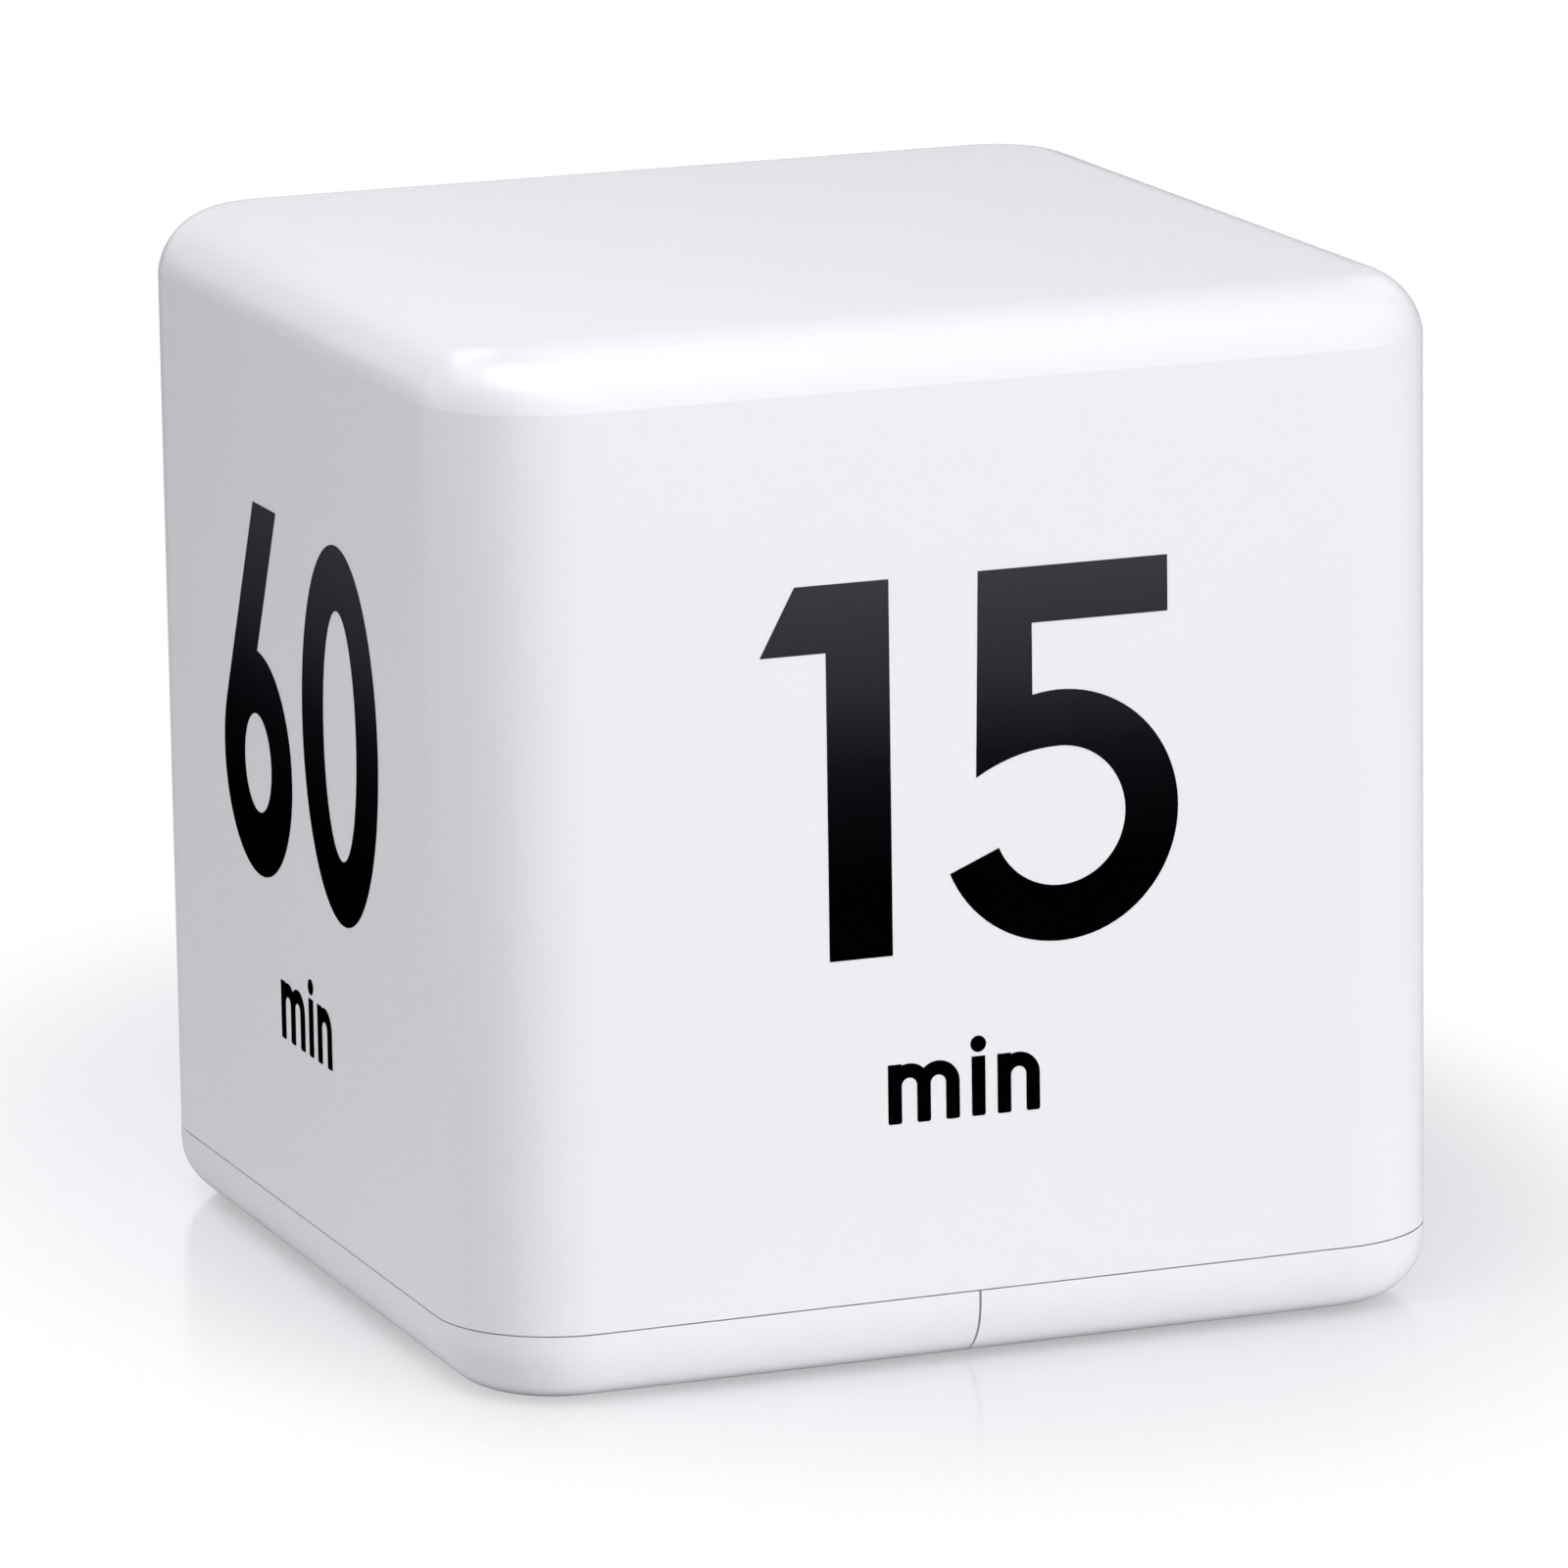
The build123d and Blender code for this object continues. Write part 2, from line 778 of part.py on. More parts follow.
with BuildPart() as battery_door:
    add(cap_left.part)
    add(door_room.part, mode=Mode.SUBTRACT)
    for side in (-1, 1):
        block(
            (corner_radius - half, -split_x),
            sorted((side * door_lip_y, side * door_inner)),
            (door_lip_low, door_lip_low + door_lip_height),
        )
    block(
        (-split_x, tongue_reach), about(0, tongue_width), (tongue_low, tongue_top)
    )
    # Thumb recess with ridges across the push
    block(
        about(thumb_x, thumb_length), about(0, thumb_width), (-overrun, thumb_depth),
        mode=Mode.SUBTRACT,
    )
    with Locations((thumb_x, 0, thumb_depth - thumb_ridge / 2)):
        with GridLocations(thumb_ridge_pitch, 0, thumb_ridge_count, 1):
            Box(thumb_ridge, thumb_width, thumb_ridge)
    # Arrow that shows which way the door slides
    with BuildSketch(Plane.XY):
        arrow_tip = thumb_x + thumb_length / 2 + arrow_gap
        with BuildLine():
            Polyline(
                (arrow_tip, 0),
                (arrow_tip + arrow_length, arrow_width / 2),
                (arrow_tip + arrow_length, -arrow_width / 2),
                close=True,
            )
        make_face()
    extrude(amount=arrow_depth, mode=Mode.SUBTRACT)
write(battery_door.part, "battery_door")

# Foam on the door that presses the cells up
with BuildPart() as door_foam_pad:
    block(
        (bay_left_x + cell_side_gap * 2, bay_right_x - cell_side_gap * 2),
        about(0, cell_length - 2 * cell_diameter),
        (floor_thickness, floor_thickness + foam_thickness),
    )
write(door_foam_pad.part, "door_foam_pad")


# Cells and their contacts
def make_cell(name, x, toward):
    """One cell lying along Y, with its nub at the end that it points toward."""
    tail = toward * (contact_face_y - cell_length)
    bed = Plane(origin=(x, tail, cell_z), x_dir=(1, 0, 0), z_dir=(0, toward, 0))
    with BuildPart() as cell:
        with BuildSketch(bed):
            Circle(cell_diameter / 2)
        extrude(amount=cell_length - cell_nub_length)
        chamfer(cell.edges(), length=cell_edge)
        with BuildSketch(bed.offset(cell_length - cell_nub_length)):
            Circle(cell_nub_radius)
        extrude(amount=cell_nub_length)
    write(cell.part, name)


make_cell("aaa_cell_1", cell_left_x, 1)
make_cell("aaa_cell_2", cell_right_x, -1)


def make_terminal(name, x):
    """A contact plate at the wired end, with a solder tab through the bay's roof."""
    with BuildPart() as plate:
        block(
            about(x, contact_width),
            (-bay_y, -contact_face_y),
            (cap_height, cell_z + contact_width / 2),
        )
        block(
            about(x, tab_width),
            (-bay_y, -contact_face_y),
            (cap_height, tab_top),
        )
    write(plate.part, name)


make_terminal("negative_terminal", cell_left_x)
make_terminal("positive_terminal", cell_right_x)

with BuildPart() as bridge_contact:
    block(
        (cell_left_x - contact_width / 2, cell_right_x + contact_width / 2),
        (contact_face_y, bay_y),
        (cap_height, cell_z + contact_width / 2),
    )
write(bridge_contact.part, "bridge_contact")


# Conical contact springs
spring_turns = 4
spring_steps = 4
gap_steps = 24


def spring_point(x, side, turn):
    """A point and a direction on the spring's centre line after some turns."""
    share = turn / spring_turns
    radius = spring_base_radius + (spring_tip_radius - spring_base_radius) * share
    first = contact_face_y - spring_wire / 2 - spring_seat_gap
    last = contact_face_y - spring_length + spring_wire / 2 + spring_seat_gap
    angle = 2 * math.pi * turn
    place = Vector(
        x + radius * math.cos(angle),
        side * (first + (last - first) * share),
        cell_z + radius * math.sin(angle),
    )
    swell = (spring_tip_radius - spring_base_radius) / (2 * math.pi * spring_turns)
    rise = side * (last - first) / (2 * math.pi * spring_turns)
    heading = Vector(
        swell * math.cos(angle) - radius * math.sin(angle),
        rise,
        swell * math.sin(angle) + radius * math.cos(angle),
    )
    return place, heading.normalized()


def two_arcs(start, start_heading, end, end_heading):
    """Two arcs that join two points and keep both headings."""
    gap = end - start
    headings = start_heading + end_heading
    along = gap.dot(headings)
    spread = 2 * (1 - start_heading.dot(end_heading))
    reach = (math.sqrt(along**2 + spread * gap.dot(gap)) - along) / spread
    first_arm = start + start_heading * reach
    second_arm = end - end_heading * reach
    joint = (first_arm + second_arm) * 0.5
    TangentArc(start, joint, tangent=start_heading)
    TangentArc(joint, end, tangent=(second_arm - first_arm).normalized())


def make_spring(name, x, side):
    """A conical coil, wide on its plate and narrow on the cell."""
    knot_count = spring_turns * spring_steps + 1
    knots = [spring_point(x, side, step / spring_steps) for step in range(knot_count)]
    with BuildPart() as spring:
        with BuildLine() as wire_line:
            for (start, start_heading), (end, end_heading) in zip(knots, knots[1:]):
                two_arcs(start, start_heading, end, end_heading)
        with BuildSketch(Plane(origin=knots[0][0], z_dir=knots[0][1])):
            Circle(spring_wire / 2)
        sweep(path=wire_line.wires()[0])
    write(spring.part, name)
    point_count = gap_steps * spring_turns + 1
    points = [spring_point(x, side, step / gap_steps)[0] for step in range(point_count)]
    gap = min(
        (points[first] - points[second]).length
        for first in range(point_count)
        for second in range(first + gap_steps // 2, point_count)
    )
    swept = wire_line.wires()[0].length * math.pi * (spring_wire / 2) ** 2
    least = gap - spring_wire
    print(f"{name}: least gap {least:.2f}, volume {spring.part.volume:.2f} of {swept:.2f}")


make_spring("contact_spring_1", cell_left_x, -1)
make_spring("contact_spring_2", cell_right_x, 1)

# Leads from the solder tabs to the board: points as shares of the way from end to end
red_route_shares = [(0, 0.425, 0), (0.366, 0.842, -0.03), (0.776, 0.975, 0.114), (1, 1, 0.514)]
black_route_shares = [
    (0, 0.41, 0), (0.25, 0.80, -0.03), (0.57, 0.946, -0.04), (0.86, 0.993, 0.14), (1, 1, 0.54),
]


def make_lead(name, start, end, route_shares):
    """An insulated lead, straight runs joined by arcs as large as the runs allow."""
    arc_share = 0.45
    way = [end[axis] - start[axis] for axis in range(3)]
    route = [Vector(*start)]
    for shares in route_shares:
        route.append(Vector(*(start[axis] + shares[axis] * way[axis] for axis in range(3))))
    route.append(Vector(*end))
    radii = []
    for before, corner, after in zip(route, route[1:], route[2:]):
        shorter = min((corner - before).length, (after - corner).length)
        turn = (corner - before).get_angle(after - corner)
        radii.append(arc_share * shorter / math.tan(math.radians(turn / 2)))
    with BuildPart() as lead:
        with BuildLine() as path:
            FilletPolyline(*route, radius=radii)
        with BuildSketch(Plane(origin=route[0], z_dir=(route[1] - route[0]))):
            Circle(lead_radius)
        sweep(path=path.wires()[0])
    write(lead.part, name)
    swept = path.wires()[0].length * math.pi * lead_radius**2
    print(f"{name}: least arc {min(radii):.2f}, volume {lead.part.volume:.2f} of {swept:.2f}")


make_lead(
    "red_lead",
    (cell_right_x, -contact_face_y, lead_z),
    (lead_pad_x, red_pad_y, board_top),
    red_route_shares,
)
make_lead(
    "black_lead",
    (cell_left_x, -contact_face_y, lead_z),
    (lead_pad_x, black_pad_y, board_top),
    black_route_shares,
)

# Display: lens, glass, holder and the two conductive rubber strips
with BuildPart() as display_lens:
    rounded_block(
        lens_width, lens_length, lens_corner, lens_recess, lens_thickness,
        centre=(display_x, display_y),
    )
write(display_lens.part, "display_lens")

with BuildPart() as display_glass:
    block(
        about(display_x, glass_width), about(display_y, glass_length), (floor_thickness, glass_top)
    )
write(display_glass.part, "display_glass")

strip_room = strip_width + 2 * strip_clearance
strip_offset = (glass_width - strip_width) / 2
strip_length = glass_length - 2 * strip_clearance - strip_width
with BuildPart() as display_holder:
    block(
        about(display_x, holder_width), about(display_y, holder_length),
        (floor_thickness, board_bottom),
    )
    block(
        about(display_x, glass_width + 2 * holder_clearance),
        about(display_y, glass_length + 2 * holder_clearance),
        (floor_thickness - overrun, glass_top + holder_clearance),
        mode=Mode.SUBTRACT,
    )
    block(
        about(display_x, glass_width - 2 * strip_width - 2 * holder_wall),
        about(display_y, glass_length - 2 * strip_width),
        (floor_thickness, board_bottom + overrun),
        mode=Mode.SUBTRACT,
    )
    for side in (-1, 1):
        block(
            about(display_x + side * strip_offset, strip_room),
            about(display_y, strip_length + 2 * strip_clearance),
            (floor_thickness, board_bottom + overrun),
            mode=Mode.SUBTRACT,
        )
write(display_holder.part, "display_holder")

for strip_name, side in (("zebra_strip_1", -1), ("zebra_strip_2", 1)):
    with BuildPart() as zebra_strip:
        block(
            about(display_x + side * strip_offset, strip_width),
            about(display_y, strip_length),
            (glass_top, board_bottom),
        )
    write(zebra_strip.part, strip_name)

# Circuit board, drilled for its three screws
with BuildPart() as main_board:
    block(
        (board_left_x, board_right_x), (-board_half_y, board_half_y), (board_bottom, board_top)
    )
    for post_x, post_place_y in board_posts:
        rod(
            post_x, post_place_y, board_bottom - overrun, board_top + overrun, board_bore,
            mode=Mode.SUBTRACT,
        )
write(main_board.part, "main_board")

with BuildPart() as timer_chip:
    rod(chip_x, chip_y, board_top, board_top + chip_height, chip_radius)
    fillet(timer_chip.faces().sort_by(Axis.Z)[-1].edges(), radius=chip_height * 3 / 4)
write(timer_chip.part, "timer_chip")

with BuildPart() as crystal:
    with BuildSketch(Plane.YZ.offset(crystal_x - crystal_length / 2)):
        with Locations((crystal_y, board_top + crystal_radius)):
            Circle(crystal_radius)
    extrude(amount=crystal_length)
    fillet(crystal.faces().sort_by(Axis.X)[-1].edges(), radius=crystal_radius / 3)
write(crystal.part, "crystal")

with BuildPart() as capacitor:
    rod(capacitor_x, capacitor_y, board_top, board_top + capacitor_height, capacitor_radius)
    fillet(capacitor.faces().sort_by(Axis.Z)[-1].edges(), radius=capacitor_radius / 5)
write(capacitor.part, "capacitor")

resistor_width, resistor_length, resistor_height = resistor_size
with BuildPart() as resistors:
    with Locations((resistor_x, resistor_y, board_top + resistor_height / 2)):
        with GridLocations(resistor_pitch, 0, resistor_count, 1):
            Box(resistor_width, resistor_length, resistor_height)
write(resistors.part, "resistors")

# Slide switch: a can soldered under the board, its lever and the knob pressed on it
switch_low = board_bottom - switch_height
flange_low = floor_thickness + flange_gap
flange_top = flange_low + flange_height
lever_y = switch_y - switch_travel / 2
lever_room = lever_side + 2 * knob_clearance
socket_top = flange_top + knob_socket
lever_low = switch_low + switch_wall + knob_clearance
lever_top = lever_low + lever_reach

with BuildPart() as switch_body:
    block(
        about(switch_x, switch_width), about(switch_y, switch_length), (switch_low, board_bottom)
    )
    block(
        about(switch_x, switch_width - 2 * switch_wall),
        about(switch_y, switch_length - 2 * switch_wall),
        (switch_low + switch_wall, board_bottom - switch_wall),
        mode=Mode.SUBTRACT,
    )
    block(
        about(switch_x, lever_room),
        about(switch_y, lever_room + switch_travel),
        (switch_low - overrun, switch_low + overrun),
        mode=Mode.SUBTRACT,
    )
write(switch_body.part, "switch_body")

with BuildPart() as switch_lever:
    block(
        about(switch_x, lever_side),
        about(lever_y, lever_side),
        (flange_low, lever_top),
    )
    block(
        about(switch_x, switch_width - 2 * switch_wall - 2 * knob_clearance),
        about(lever_y, switch_length - 2 * switch_wall - switch_travel - 2 * knob_clearance),
        (lever_low, lever_top),
    )
write(switch_lever.part, "switch_lever")

with BuildPart() as switch_knob:
    block(about(switch_x, knob_width), about(lever_y, knob_length), (knob_recess, flange_low))
    block(
        about(switch_x, knob_width + 2 * knob_clearance + 2 * flange_border),
        about(lever_y, slot_length + switch_travel),
        (flange_low, flange_top),
    )
    block(
        about(switch_x, lever_side + 2 * knob_socket_wall),
        about(lever_y, lever_side + 2 * knob_socket_wall),
        (flange_top, socket_top),
    )
    block(
        about(switch_x, lever_side), about(lever_y, lever_side), (flange_low, socket_top + overrun),
        mode=Mode.SUBTRACT,
    )
    # Three grooves across the grip
    with Locations((switch_x, lever_y, knob_recess)):
        with GridLocations(0, knob_length / 4, 1, 3):
            Box(knob_width + overrun, knob_length / 10, knob_recess * 2, mode=Mode.SUBTRACT)
write(switch_knob.part, "switch_knob")

# Buzzer on its gasket over the sound holes
with BuildPart() as buzzer_gasket:
    gasket_top = floor_thickness + gasket_thickness
    rod(buzzer_x, buzzer_y, floor_thickness, gasket_top, buzzer_radius)
    rod(
        buzzer_x, buzzer_y, floor_thickness - overrun, gasket_top + overrun,
        buzzer_radius - gasket_width, mode=Mode.SUBTRACT,
    )
write(buzzer_gasket.part, "buzzer_gasket")

with BuildPart() as buzzer:
    rod(buzzer_x, buzzer_y, gasket_top, board_bottom, buzzer_radius)
    rod(
        buzzer_x, buzzer_y, gasket_top - overrun, gasket_top + buzzer_port_depth,
        buzzer_port_radius, mode=Mode.SUBTRACT,
    )
write(buzzer.part, "buzzer")

# Tilt switches: a can, its pinned cap and the ball that closes the contact
tilt_rise = math.radians(tilt_pitch)
tilt_height = (
    board_top + tilt_board_gap
    + tilt_radius * math.cos(tilt_rise) + tilt_length / 2 * math.sin(tilt_rise)
)
tilt_reach = tilt_inner_radius + tilt_length / 2 * math.cos(tilt_rise)


def make_tilt_switch(number, bearing):
    """One tilt switch lying out from the board's middle, its inner end the lower one."""
    turn = math.radians(bearing)
    across = (-math.sin(turn), math.cos(turn), 0)
    out_share, up_share = math.cos(tilt_rise), math.sin(tilt_rise)
    axis = Vector(math.cos(turn) * out_share, math.sin(turn) * out_share, up_share)
    down_disc = Vector(math.cos(turn) * up_share, math.sin(turn) * up_share, -out_share)
    centre = Vector(
        tilt_x + tilt_reach * math.cos(turn), tilt_y + tilt_reach * math.sin(turn), tilt_height
    )
    low_end = centre - axis * (tilt_length / 2)
    bed = Plane(origin=low_end, x_dir=across, z_dir=axis)
    with BuildPart() as can:
        with BuildSketch(bed):
            Circle(tilt_radius)
        extrude(amount=tilt_length - tilt_cap)
        with BuildSketch(bed.offset(tilt_wall)):
            Circle(tilt_radius - tilt_wall)
        extrude(amount=tilt_length, mode=Mode.SUBTRACT)
    write(can.part, f"tilt_can_{number}")
    cap_bed = bed.offset(tilt_length - tilt_cap)
    with BuildPart() as cap:
        with BuildSketch(cap_bed):
            Circle(tilt_radius)
        extrude(amount=tilt_cap)
        disc_centre = low_end + axis * (tilt_length - tilt_cap / 2)
        pin_drop = math.sqrt(tilt_radius**2 - pin_spread**2)
        for side in (-1, 1):
            foot = disc_centre + down_disc * pin_drop + Vector(*across) * (side * pin_spread)
            rod(foot.X, foot.Y, board_top, foot.Z + tilt_cap / 2, pin_radius)
    write(cap.part, f"tilt_cap_{number}")
    with BuildPart() as ball:
        seat = low_end + axis * (tilt_wall + tilt_ball_radius + tilt_board_gap)
        with Locations(seat):
            Sphere(tilt_ball_radius)
    write(ball.part, f"tilt_ball_{number}")
    print(f"tilt_ball_{number}: axis {axis.X:.5f} {axis.Y:.5f} {axis.Z:.5f}")


for number, bearing in enumerate((0, 90, 180, 270), start=1):
    make_tilt_switch(number, bearing)


# Screws
def screw(x, y, seat, toward, radius, length, wide, tall):
    """A pan-headed screw with a cross drive, its head on one side of its seat."""
    head_end = seat - toward * tall
    rod(x, y, min(seat, head_end), max(seat, head_end), wide)
    tip = seat + toward * length
    rod(x, y, min(seat, tip), max(seat, tip), radius)
    size_share = wide / head_radius
    slot, deep = drive_length * size_share, 2 * drive_depth * size_share
    with Locations((x, y, head_end)):
        Box(slot, drive_width, deep, mode=Mode.SUBTRACT)
        Box(drive_width, slot, deep, mode=Mode.SUBTRACT)


with BuildPart() as base_screws:
    for post_x, side_y in corner_posts:
        screw(post_x, side_y, head_seat, 1, screw_radius, screw_length, head_radius, head_height)
write(base_screws.part, "base_screws")

with BuildPart() as board_screws:
    for post_x, post_place_y in board_posts:
        screw(
            post_x, post_place_y, board_top, -1, board_screw_radius,
            board_screw_length, board_head_radius, board_head_height,
        )
write(board_screws.part, "board_screws")
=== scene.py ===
import math

import bpy
import numpy as np
from mathutils import Matrix, Vector


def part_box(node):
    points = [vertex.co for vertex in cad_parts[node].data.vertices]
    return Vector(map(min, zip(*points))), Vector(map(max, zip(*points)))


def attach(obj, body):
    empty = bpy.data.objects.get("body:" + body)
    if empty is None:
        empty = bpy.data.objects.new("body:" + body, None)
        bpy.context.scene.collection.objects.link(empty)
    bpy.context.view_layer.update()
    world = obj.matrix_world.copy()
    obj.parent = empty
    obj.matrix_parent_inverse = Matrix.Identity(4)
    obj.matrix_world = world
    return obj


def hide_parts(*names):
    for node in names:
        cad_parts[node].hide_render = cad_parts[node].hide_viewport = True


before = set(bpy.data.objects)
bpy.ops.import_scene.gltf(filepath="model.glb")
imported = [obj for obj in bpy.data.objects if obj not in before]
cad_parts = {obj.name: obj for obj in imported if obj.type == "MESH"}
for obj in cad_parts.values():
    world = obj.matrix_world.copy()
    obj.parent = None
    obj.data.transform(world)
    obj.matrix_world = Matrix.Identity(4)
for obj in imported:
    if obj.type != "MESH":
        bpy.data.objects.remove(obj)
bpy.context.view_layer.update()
scene = bpy.context.scene
millimetre = 0.001

# Camera
# A long lens a little above the cube and to the left of its front, so that the front, the left
# side and the top show. Its place and turn are fitted to the eight visible corners of the cube.
yaw, pitch, roll = 0.3638156, 0.2183194, -0.0145663
camera_place = (-0.22350, -0.58699, 0.16844)
focal_length, film_width = 238.3, 36.0
nearest, farthest = 0.01, 20.0
ahead = np.array(
    [math.sin(yaw) * math.cos(pitch), math.cos(yaw) * math.cos(pitch), -math.sin(pitch)]
)
level_right = np.array([math.cos(yaw), -math.sin(yaw), 0.0])
level_up = np.cross(level_right, ahead)
camera_right = math.cos(roll) * level_right + math.sin(roll) * level_up
camera_up = math.cos(roll) * level_up - math.sin(roll) * level_right
lens = bpy.data.cameras.new("camera")
lens.lens, lens.sensor_width = focal_length, film_width
lens.clip_start, lens.clip_end = nearest, farthest
camera = bpy.data.objects.new("camera", lens)
camera_pose = Matrix(np.column_stack([camera_right, camera_up, -ahead]).tolist()).to_4x4()
camera_pose.translation = camera_place
camera.matrix_world = camera_pose
scene.collection.objects.link(camera)
scene.camera = camera

# Light
# Soft boxes round the cube: close above its front left edge, low on the front right, two weak
# ones behind and one under the floor. The room is pale, with a lit wall behind the cube.
scene.view_settings.view_transform = "Standard"
base_middle, cube_middle = (0.0, 0.0, 0.0), (0.0, 0.0, 0.04)
front_left_top = (-0.03, -0.03, 0.06)


def soft_box(name, place, size, watts, aim=cube_middle):
    """A rectangular soft box at a place, turned to face a point of the cube."""
    box = bpy.data.lights.new(name, "AREA")
    box.shape = "RECTANGLE"
    box.size, box.size_y = size
    box.energy = watts
    lamp = bpy.data.objects.new(name, box)
    lamp.location = place
    lamp.visible_camera = False
    lamp.rotation_mode = "QUATERNION"
    lamp.rotation_quaternion = (Vector(aim) - Vector(place)).to_track_quat("-Z", "Y")
    scene.collection.objects.link(lamp)
    return lamp


# The strip on the front right shows in no gloss, and the sheen box behind shows in gloss only.
soft_box("high_box", (-0.12, -0.12, 0.32), (0.30, 0.20), 0.815)
strip_box = soft_box("strip_box", (0.70, -0.80, 0.12), (0.60, 0.20), 6.82)
strip_box.visible_glossy = False
soft_box("back_box", (0.90, 0.75, 0.60), (0.50, 0.50), 0.5)
sheen_box = soft_box("sheen_box", (-0.166, 0.106, 0.29), (0.32, 0.14), 0.29, front_left_top)
sheen_box.visible_diffuse = False
soft_box("under_box", (0.10, -0.12, -0.60), (0.90, 0.90), 2.0, base_middle)


def add(tree, kind, inputs=(), **settings):
    """A shader node with its settings, whose inputs take values or another node's outputs."""
    made = tree.nodes.new(kind)
    for setting, value in settings.items():
        setattr(made, setting, value)
    for socket, value in dict(inputs).items():
        if isinstance(value, bpy.types.NodeSocket):
            tree.links.new(value, made.inputs[socket])
        else:
            made.inputs[socket].default_value = value
    return made


def given_by(tree, kind, inputs=(), **settings):
    """The first output of a new shader node."""
    return add(tree, kind, inputs, **settings).outputs[0]


def place_on(tree):
    """The place on the object in metres, or in the room the direction that a ray goes in."""
    return add(tree, "ShaderNodeTexCoord").outputs["Object"]


def axes(tree, place):
    """The X, Y and Z of a place."""
    return add(tree, "ShaderNodeSeparateXYZ", {0: place}).outputs


def reckon(tree, operation, *values):
    """One step of arithmetic on values or other nodes' outputs."""
    return given_by(tree, "ShaderNodeMath", dict(enumerate(values)), operation=operation)


def between(tree, value, low, high, to_low, to_high, ease="LINEAR"):
    """A value moved from one range to another and held inside it."""
    ranges = {"From Min": low, "From Max": high, "To Min": to_low, "To Max": to_high}
    return given_by(tree, "ShaderNodeMapRange", {"Value": value, **ranges}, interpolation_type=ease)


def mixed(tree, share, first, second):
    """Two shaders mixed: all the first at a share of zero, all the second at one."""
    return given_by(tree, "ShaderNodeMixShader", {0: share, 1: first, 2: second})


def seen_directly(tree):
    """One for rays from the camera, or that reach it through glass."""
    rays = add(tree, "ShaderNodeLightPath").outputs
    return reckon(tree, "MAXIMUM", rays["Is Camera Ray"], rays["Is Transmission Ray"])


room = bpy.data.worlds.new("room")
room.use_nodes = True
scene.world = room
tree = room.node_tree
tree.nodes.clear()
direction = axes(tree, place_on(tree))
lit_wall_strength, room_strength = 1.9, 0.19
behind = between(tree, direction["Y"], 0.0, 1.0, 0.0, lit_wall_strength, "SMOOTHSTEP")
low_down = between(tree, direction["Z"], 0.15, 0.50, 1.0, 0.0, "SMOOTHSTEP")
room_level = reckon(tree, "ADD", reckon(tree, "MULTIPLY", behind, low_down), room_strength)
room_light = given_by(
    tree, "ShaderNodeBackground", {"Color": (0.99, 0.99, 1.0, 1.0), "Strength": room_level}
)

# In gloss the room is one white wall. It is dark at its foot, the same above and below the
# floor's level, and shaded on the left and on the right up to about 30 degrees high.
left_darkest, right_darkest = 0.34, 0.36
left_shade = between(tree, direction["X"], -0.05, -0.28, 0.0, left_darkest, "SMOOTHSTEP")
right_shade = between(tree, direction["X"], 0.31, 0.60, 0.0, right_darkest)
side_shade = reckon(tree, "ADD", left_shade, right_shade)
from_floor = reckon(tree, "ABSOLUTE", direction["Z"])
eye_level = between(tree, from_floor, 0.36, 0.56, 1.0, 0.0, "SMOOTHSTEP")
shade = reckon(tree, "MULTIPLY", side_shade, eye_level)
wall_foot = between(tree, from_floor, 0.0, 0.095, 1.0, 0.0, "SMOOTHSTEP")
unshaded = reckon(tree, "SUBTRACT", 1.0, reckon(tree, "MAXIMUM", shade, wall_foot))
mirrored_wall = given_by(
    tree, "ShaderNodeBackground", {"Color": (1.01, 1.02, 1.07, 1.0), "Strength": unshaded}
)
mirrored = add(tree, "ShaderNodeLightPath").outputs["Is Glossy Ray"]
around = mixed(tree, mirrored, room_light, mirrored_wall)
white_wall = given_by(
    tree, "ShaderNodeBackground", {"Color": (1.0, 1.0, 1.0, 1.0), "Strength": 1.0}
)
add(
    tree, "ShaderNodeOutputWorld",
    {"Surface": mixed(tree, seen_directly(tree), around, white_wall)},
)

# Floor
# A wide sheet of glossy white board with a painted shadow round the cube: inside an ellipse a
# little behind the cube the board shows its shading and gloss over a glow, and outside it is an
# even white that merges into the white room. It is clear for a path that comes from below, so
# that the underside can be seen and lit.
floor_reach = 3.0
floor_level = -0.05 * millimetre
# Painted shadow: inside this ellipse round the cube the board is darker than the even white beyond
# it.
painted_shadow_middle, painted_shadow_size = (0.005, 0.020), (0.052, 0.078)
shadow_fade_start, shadow_fade_end = 0.50, 1.30
rim = np.array([(-1, -1), (1, -1), (1, 1), (-1, 1)], float)
floor_points = np.column_stack([rim * floor_reach, np.full(4, floor_level)])
floor_mesh = bpy.data.meshes.new("floor")
floor_mesh.from_pydata(floor_points.tolist(), [], [(0, 1, 2, 3)])
floor = bpy.data.objects.new("floor", floor_mesh)
scene.collection.objects.link(floor)
board_with_painted_shadow = bpy.data.materials.new("glossy_white_board_with_painted_shadow")
board_with_painted_shadow.use_nodes = True
floor_mesh.materials.append(board_with_painted_shadow)
tree = board_with_painted_shadow.node_tree
tree.nodes.clear()
plain = given_by(tree, "ShaderNodeBsdfDiffuse", {"Color": (0.80, 0.80, 0.81, 1.0)})
# Seen directly, the board in the painted shadow is a darker diffuse than the plain board that light
# bounces from.
shadow_zone_diffuse = given_by(tree, "ShaderNodeBsdfDiffuse", {"Color": (0.36, 0.36, 0.375, 1.0)})
floor_place = place_on(tree)
